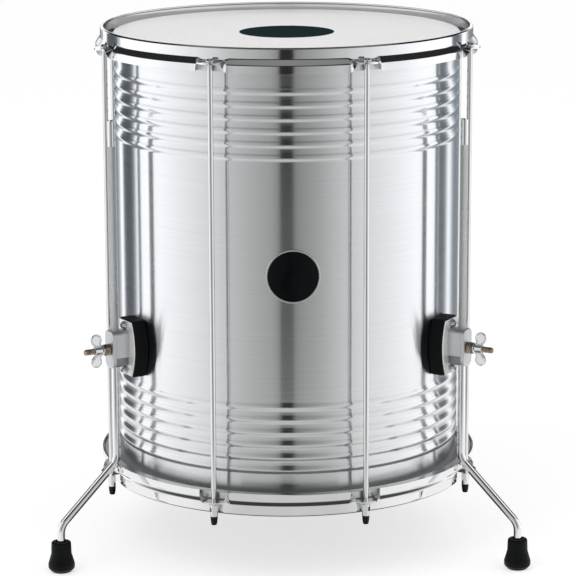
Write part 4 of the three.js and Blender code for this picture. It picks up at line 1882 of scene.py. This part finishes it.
@dataclass
class Studio:
    """Floor, lamps, and the panels and gaps that bright metal shows.

    Bright metal mirrors a brightness that depends on the direction alone: its height, which is the
    sine of its elevation, and its angle from the front, as a share of a half turn. Brightness
    is written before the mirror gain.

    Attributes:
        level: Strength of the plain light from all round.
        mirror_gain: How much brighter the surroundings are in metal than they are written.
        left: Brightness of the panels on the left, by degrees from the front.
        right: Brightness of those on the right.
        warm_until: Degrees from the front up to which the panels are a little warmer.
        cool_from: Degrees from the front from where dark panels are bluer.
        cool_under: Brightness under which they are.
        cool: How much bluer.
        haze: The least brightness that the panels have towards the floor.
        haze_fade: Where the haze ends, by height.
        brink: Height where the panels end and the ceiling starts, by angle.
        brink_fade: How the ceiling takes over, by height over the brink.
        ceiling: The ceiling's brightness.
        softbox_rise: Where the brighter panel in the ceiling starts, by height.
        softbox: That panel's brightness, and where it ends, by height.
        wall: Brightness of the pale wall behind the drum.
        wall_sides: Where the wall starts, by angle.
        wall_foot: Where it starts, by height.
        wall_top: Where it ends, by height.
        horizon: Where the ground gives way to the panels, by height.
        ground: The ground's brightness, by angle.
        under: The brightness straight below.
        under_fade: Where that gives way to the ground, by height.
        floor_tone: The floor's own colour.
        floor_lift: What the floor adds for the camera, so that it comes out white.
        floor_half: Half of the floor's side, in metres.
        floor_drop: How far it lies below the feet.
        near_floor: The floor round the drum as glossy rays see it, a glowing disc with a painted shadow in
            its middle and painted pale light round it: radius in metres, brightness and how solid it is.
        near_drop: How far that floor lies below the feet.
        side_gain: How much brighter it is at the sides than in front, by the share of the
            distance that goes sideways.
        lamps: The lamps that light everything.
        leg_lamps: The lamps that light the legs alone, and that the legs mirror.
    """

    level: float = 0.72
    mirror_gain: float = 1.25
    left: Bands = (
        (0.0, 0.022), (4.4, 0.028), (6.0, 0.26), (11.0, 0.36), (25.0, 0.46), (38.0, 0.56),
        (44.0, 0.65), (57.0, 0.78), (68.0, 0.88), (80.0, 0.98), (94.0, 1.10), (104.0, 1.15),
        (119.0, 1.15), (122.5, 1.05), (124.5, 0.42), (126.5, 0.22), (129.0, 0.14), (132.0, 0.10),
        (144.0, 0.12), (147.0, 1.1), (152.0, 1.15), (157.0, 0.43), (167.0, 0.24), (173.0, 0.07),
        (180.0, 0.06),
    )
    right: Bands = (
        (0.0, 0.022), (2.8, 0.028), (4.4, 0.23), (10.0, 0.30), (16.0, 0.35), (22.0, 0.41),
        (34.0, 0.56), (44.0, 0.66), (56.0, 0.79), (68.0, 0.88), (80.0, 0.98), (94.0, 1.10),
        (104.0, 1.15), (117.5, 1.15), (120.0, 1.05), (121.5, 0.32), (123.0, 0.17), (129.0, 0.16),
        (134.0, 0.30), (136.5, 0.9), (141.0, 1.15), (144.0, 0.8), (149.0, 0.36), (156.0, 0.22),
        (167.0, 0.24), (173.0, 0.07), (180.0, 0.06),
    )
    warm_until: float = 70.0
    cool_from: float = 118.0
    cool_under: float = 0.6
    cool: float = 0.09
    haze: float = 0.17
    haze_fade: Slope = Slope(-0.31, -0.2, 1.0, 0.0)
    brink: Slope = Slope(0.28, 0.9, 0.61, 0.21)
    brink_fade: Slope = Slope(-0.02, 0.07)
    ceiling: float = 0.02
    softbox_rise: Slope = Slope.climb(51.0, 56.0)
    softbox: Slope = Slope(0.91, 0.94, 0.2, 0.0)
    wall: float = 0.95
    wall_sides: Slope = Slope(0.84, 0.92)
    wall_foot: Slope = Slope(-0.07, 0.05)
    wall_top: Slope = Slope(0.36, 0.44, 1.0, 0.0)
    horizon: Slope = Slope.climb(-46.0, -36.0)
    ground: Slope = Slope(0.25, 0.7, 0.64, 1.1)
    under: float = 0.10
    under_fade: Slope = Slope.climb(-84.0, -73.0)
    floor_tone: float = 0.5
    floor_lift: float = 0.62
    floor_half: float = 30.0
    floor_drop: float = 0.0002
    near_floor: tuple[Corner, ...] = (
        (0.0, 0.05, 1.0), (0.264, 0.05, 1.0), (0.286, 0.72, 1.0), (0.72, 0.72, 1.0), (0.95, 0.72, 0.0),
    )
    near_drop: float = 0.0001
    side_gain: Slope = Slope(0.35, 0.9, 1.0, 1.55)
    lamps: tuple[Lamp, ...] = (
        Lamp("key_lamp", (-1.6, -2.0, 3.0), 28.0, 2.2),
        Lamp("fill_lamp", (2.2, -1.2, 2.6), 14.0, 2.4),
    )
    leg_lamps: tuple[Lamp, ...] = (
        Lamp("left_leg_lamp", (-1.9, -0.5, 2.6), 17.0, 2.2),
        Lamp("right_leg_lamp", (1.9, -0.5, 2.6), 17.0, 2.2),
    )

    def tint(self, degrees: float, value: float) -> tuple[float, ...]:
        """Gives the colour of a panel, with its alpha.

        Args:
            degrees: Its angle from the front.
            value: Its brightness.

        Returns:
            The colour.
        """
        warm = max(0.0, 1.0 - degrees / self.warm_until)
        cool = self.cool if degrees > self.cool_from and value < self.cool_under else 0.0
        return (value * (0.985 + 0.01 * warm - cool), value, value * (1.012 - 0.04 * warm + cool), 1.0)

    def panels(self, nodes: Nodes, share: Socket, bands: Bands) -> Socket:
        """Lays panels out by their angle from the front.

        Args:
            nodes: The world's nodes.
            share: The angle as a share of a half turn.
            bands: Degrees and brightness.

        Returns:
            The panels' colour.
        """
        stops = [(degrees / 180.0, self.tint(degrees, value)) for degrees, value in bands]
        return nodes.ramp(share, stops)["Color"]

    def surroundings(self, nodes: Nodes) -> Socket:
        """Lays out what bright metal mirrors: panels, wall, ceiling and ground.

        Args:
            nodes: The world's nodes.

        Returns:
            The colour in the ray's direction.
        """
        way = nodes.split(nodes.add("ShaderNodeTexCoord").outputs["Generated"])
        height = way["Z"]
        angle = nodes.reckon("ARCTAN2", way["X"], nodes.reckon("MULTIPLY", way["Y"], -1.0))
        share = nodes.reckon("MULTIPLY", nodes.reckon("ABSOLUTE", angle), 1.0 / math.pi)
        on_right = nodes.reckon("GREATER_THAN", way["X"], 0.0)
        left = self.panels(nodes, share, self.left)
        panels = nodes.mix(on_right, left, self.panels(nodes, share, self.right))
        haze = nodes.reckon("MULTIPLY", nodes.follow(height, self.haze_fade), self.haze)
        panels = nodes.mix(1.0, panels, haze, kind="LIGHTEN")
        behind = nodes.follow(share, self.wall_sides)
        for slope in (self.wall_foot, self.wall_top):
            behind = nodes.reckon("MULTIPLY", behind, nodes.follow(height, slope))
        upright = nodes.mix(behind, panels, self.wall)
        rise = nodes.follow(height, self.softbox_rise)
        softbox = nodes.reckon("MULTIPLY", rise, nodes.follow(height, self.softbox))
        ceiling = nodes.reckon("ADD", softbox, self.ceiling)
        over_brink = nodes.reckon("SUBTRACT", height, nodes.follow(share, self.brink))
        above = nodes.mix(nodes.follow(over_brink, self.brink_fade), upright, ceiling)
        below = nodes.mix(nodes.follow(height, self.under_fade), self.under, nodes.follow(share, self.ground))
        return nodes.mix(nodes.follow(height, self.horizon), below, above)

    def world(self) -> None:
        """Makes the light from all round, white for the camera, and what bright metal mirrors."""
        world = bpy.data.worlds.new("studio")
        bpy.context.scene.world = world
        nodes = Nodes(world)
        world.cycles.sampling_method = "NONE"
        rays = nodes.add("ShaderNodeLightPath").outputs
        lit = nodes.mix(rays["Is Glossy Ray"], self.level, self.surroundings(nodes))
        straight = nodes.reckon("MAXIMUM", rays["Is Camera Ray"], rays["Is Transmission Ray"])
        gain = nodes.reckon("MULTIPLY", rays["Is Glossy Ray"], self.mirror_gain - 1.0)
        background = nodes.add("ShaderNodeBackground")
        nodes.put(background.inputs["Color"], nodes.mix(straight, lit, 1.0))
        nodes.put(background.inputs["Strength"], nodes.reckon("ADD", gain, 1.0))
        nodes.close(background.outputs["Background"])

    def lay(self, name: str, shape: Shape, spot: Corner) -> tuple[bpy.types.Object, Nodes]:
        """Lays a flat piece of ground with an empty material, and frees its mesh.

        Args:
            name: Its name.
            shape: Its mesh in metres.
            spot: Where it lies, in metres.

        Returns:
            The ground, and the nodes of its material.
        """
        mesh = bpy.data.meshes.new(name)
        shape.to_mesh(mesh)
        shape.free()
        material = bpy.data.materials.new(name)
        mesh.materials.append(material)
        ground = bpy.data.objects.new(name, mesh)
        bpy.context.scene.collection.objects.link(ground)
        ground.location = spot
        return ground, Nodes(material)

    def floor(self) -> None:
        """Lays a plain pale floor that keeps the drum's shadow."""
        shape = bmesh.new()
        bmesh.ops.create_grid(shape, x_segments=1, y_segments=1, size=self.floor_half)
        floor, nodes = self.lay("floor", shape, (0.0, 0.0, -self.floor_drop))
        floor.visible_glossy = False
        paint = nodes.add("ShaderNodeBsdfDiffuse")
        nodes.put(paint.inputs["Color"], self.floor_tone)
        glow = nodes.add("ShaderNodeEmission")
        seen = nodes.add("ShaderNodeLightPath").outputs["Is Camera Ray"]
        nodes.put(glow.inputs["Strength"], nodes.reckon("MULTIPLY", seen, self.floor_lift))
        both = nodes.add("ShaderNodeAddShader")
        nodes.put(both.inputs[0], paint.outputs["BSDF"])
        nodes.put(both.inputs[1], glow.outputs["Emission"])
        nodes.close(both.outputs["Shader"])

    def mirrored_floor(self, datum: Datum) -> None:
        """Lays a glowing floor disc that only glossy rays see: a painted shadow under the drum, and painted
        pale light round it.

        Args:
            datum: The drum's axis and edges.
        """
        reach = self.near_floor[-1][0]
        shape = bmesh.new()
        bmesh.ops.create_circle(shape, cap_ends=True, radius=reach, segments=64)
        disc, nodes = self.lay("mirrored_floor", shape, (0.0, datum.axis_y, -self.near_drop))
        disc.visible_camera = disc.visible_diffuse = disc.visible_shadow = False
        disc.visible_transmission = disc.visible_volume_scatter = False
        spot = nodes.add("ShaderNodeTexCoord").outputs["Object"]
        away = nodes.add("ShaderNodeVectorMath", operation="LENGTH")
        nodes.put(away.inputs[0], spot)
        way = nodes.add("ShaderNodeVectorMath", operation="NORMALIZE")
        nodes.put(way.inputs[0], spot)
        share = nodes.reckon("DIVIDE", away.outputs["Value"], reach)
        # Painted shadow in the middle, painted pale light round it.
        zones = nodes.ramp(share, [
            (radius / reach, (tone, tone, tone * 0.98, solid)) for radius, tone, solid in self.near_floor
        ])
        sideways = nodes.reckon("ABSOLUTE", nodes.split(way.outputs["Vector"])["X"])
        glow = nodes.add("ShaderNodeEmission")
        nodes.fill(glow, {"Color": zones["Color"], "Strength": nodes.follow(sideways, self.side_gain)})
        clear = nodes.add("ShaderNodeBsdfTransparent")
        fade = nodes.add("ShaderNodeMixShader")
        sources = (zones["Alpha"], clear.outputs["BSDF"], glow.outputs["Emission"])
        for target, source in zip(fade.inputs, sources):
            nodes.put(target, source)
        nodes.close(fade.outputs["Shader"])

    def leg_light(self, legs: list[bpy.types.Object]) -> None:
        """Hangs the lamps that light the legs alone.

        Args:
            legs: The bent rods.
        """
        lit = bpy.data.collections.new("mirroring_legs")
        for leg in legs:
            lit.objects.link(leg)
        for lamp in self.leg_lamps:
            lamp.hang(mirrored=True).light_linking.receiver_collection = lit

    def build(self, datum: Datum) -> None:
        """Sets up the studio and the plain view transform.

        Args:
            datum: The drum's axis and edges.
        """
        self.world()
        self.floor()
        self.mirrored_floor(datum)
        for lamp in self.lamps:
            lamp.hang()
        bpy.context.scene.view_settings.view_transform = "Standard"


def main() -> None:
    """Builds the studio and the drum, piece by piece."""
    logging.basicConfig(level=logging.INFO, format="%(name)s: %(message)s")
    datum = Datum.read()
    View().build(datum)
    studio = Studio()
    studio.build(datum)
    Shell().build(datum)
    Badge().build(datum)
    for end in End:
        Head(end).build(datum)
        CounterHoop(end).build(datum)
    for number in range(1, RODS + 1):
        Tensioner(number).build(datum)
    studio.leg_light([Leg(side).build(datum) for side in Side])
    for side in Side:
        Clamp(side).build(datum)


if __name__ == "__main__":
    main()
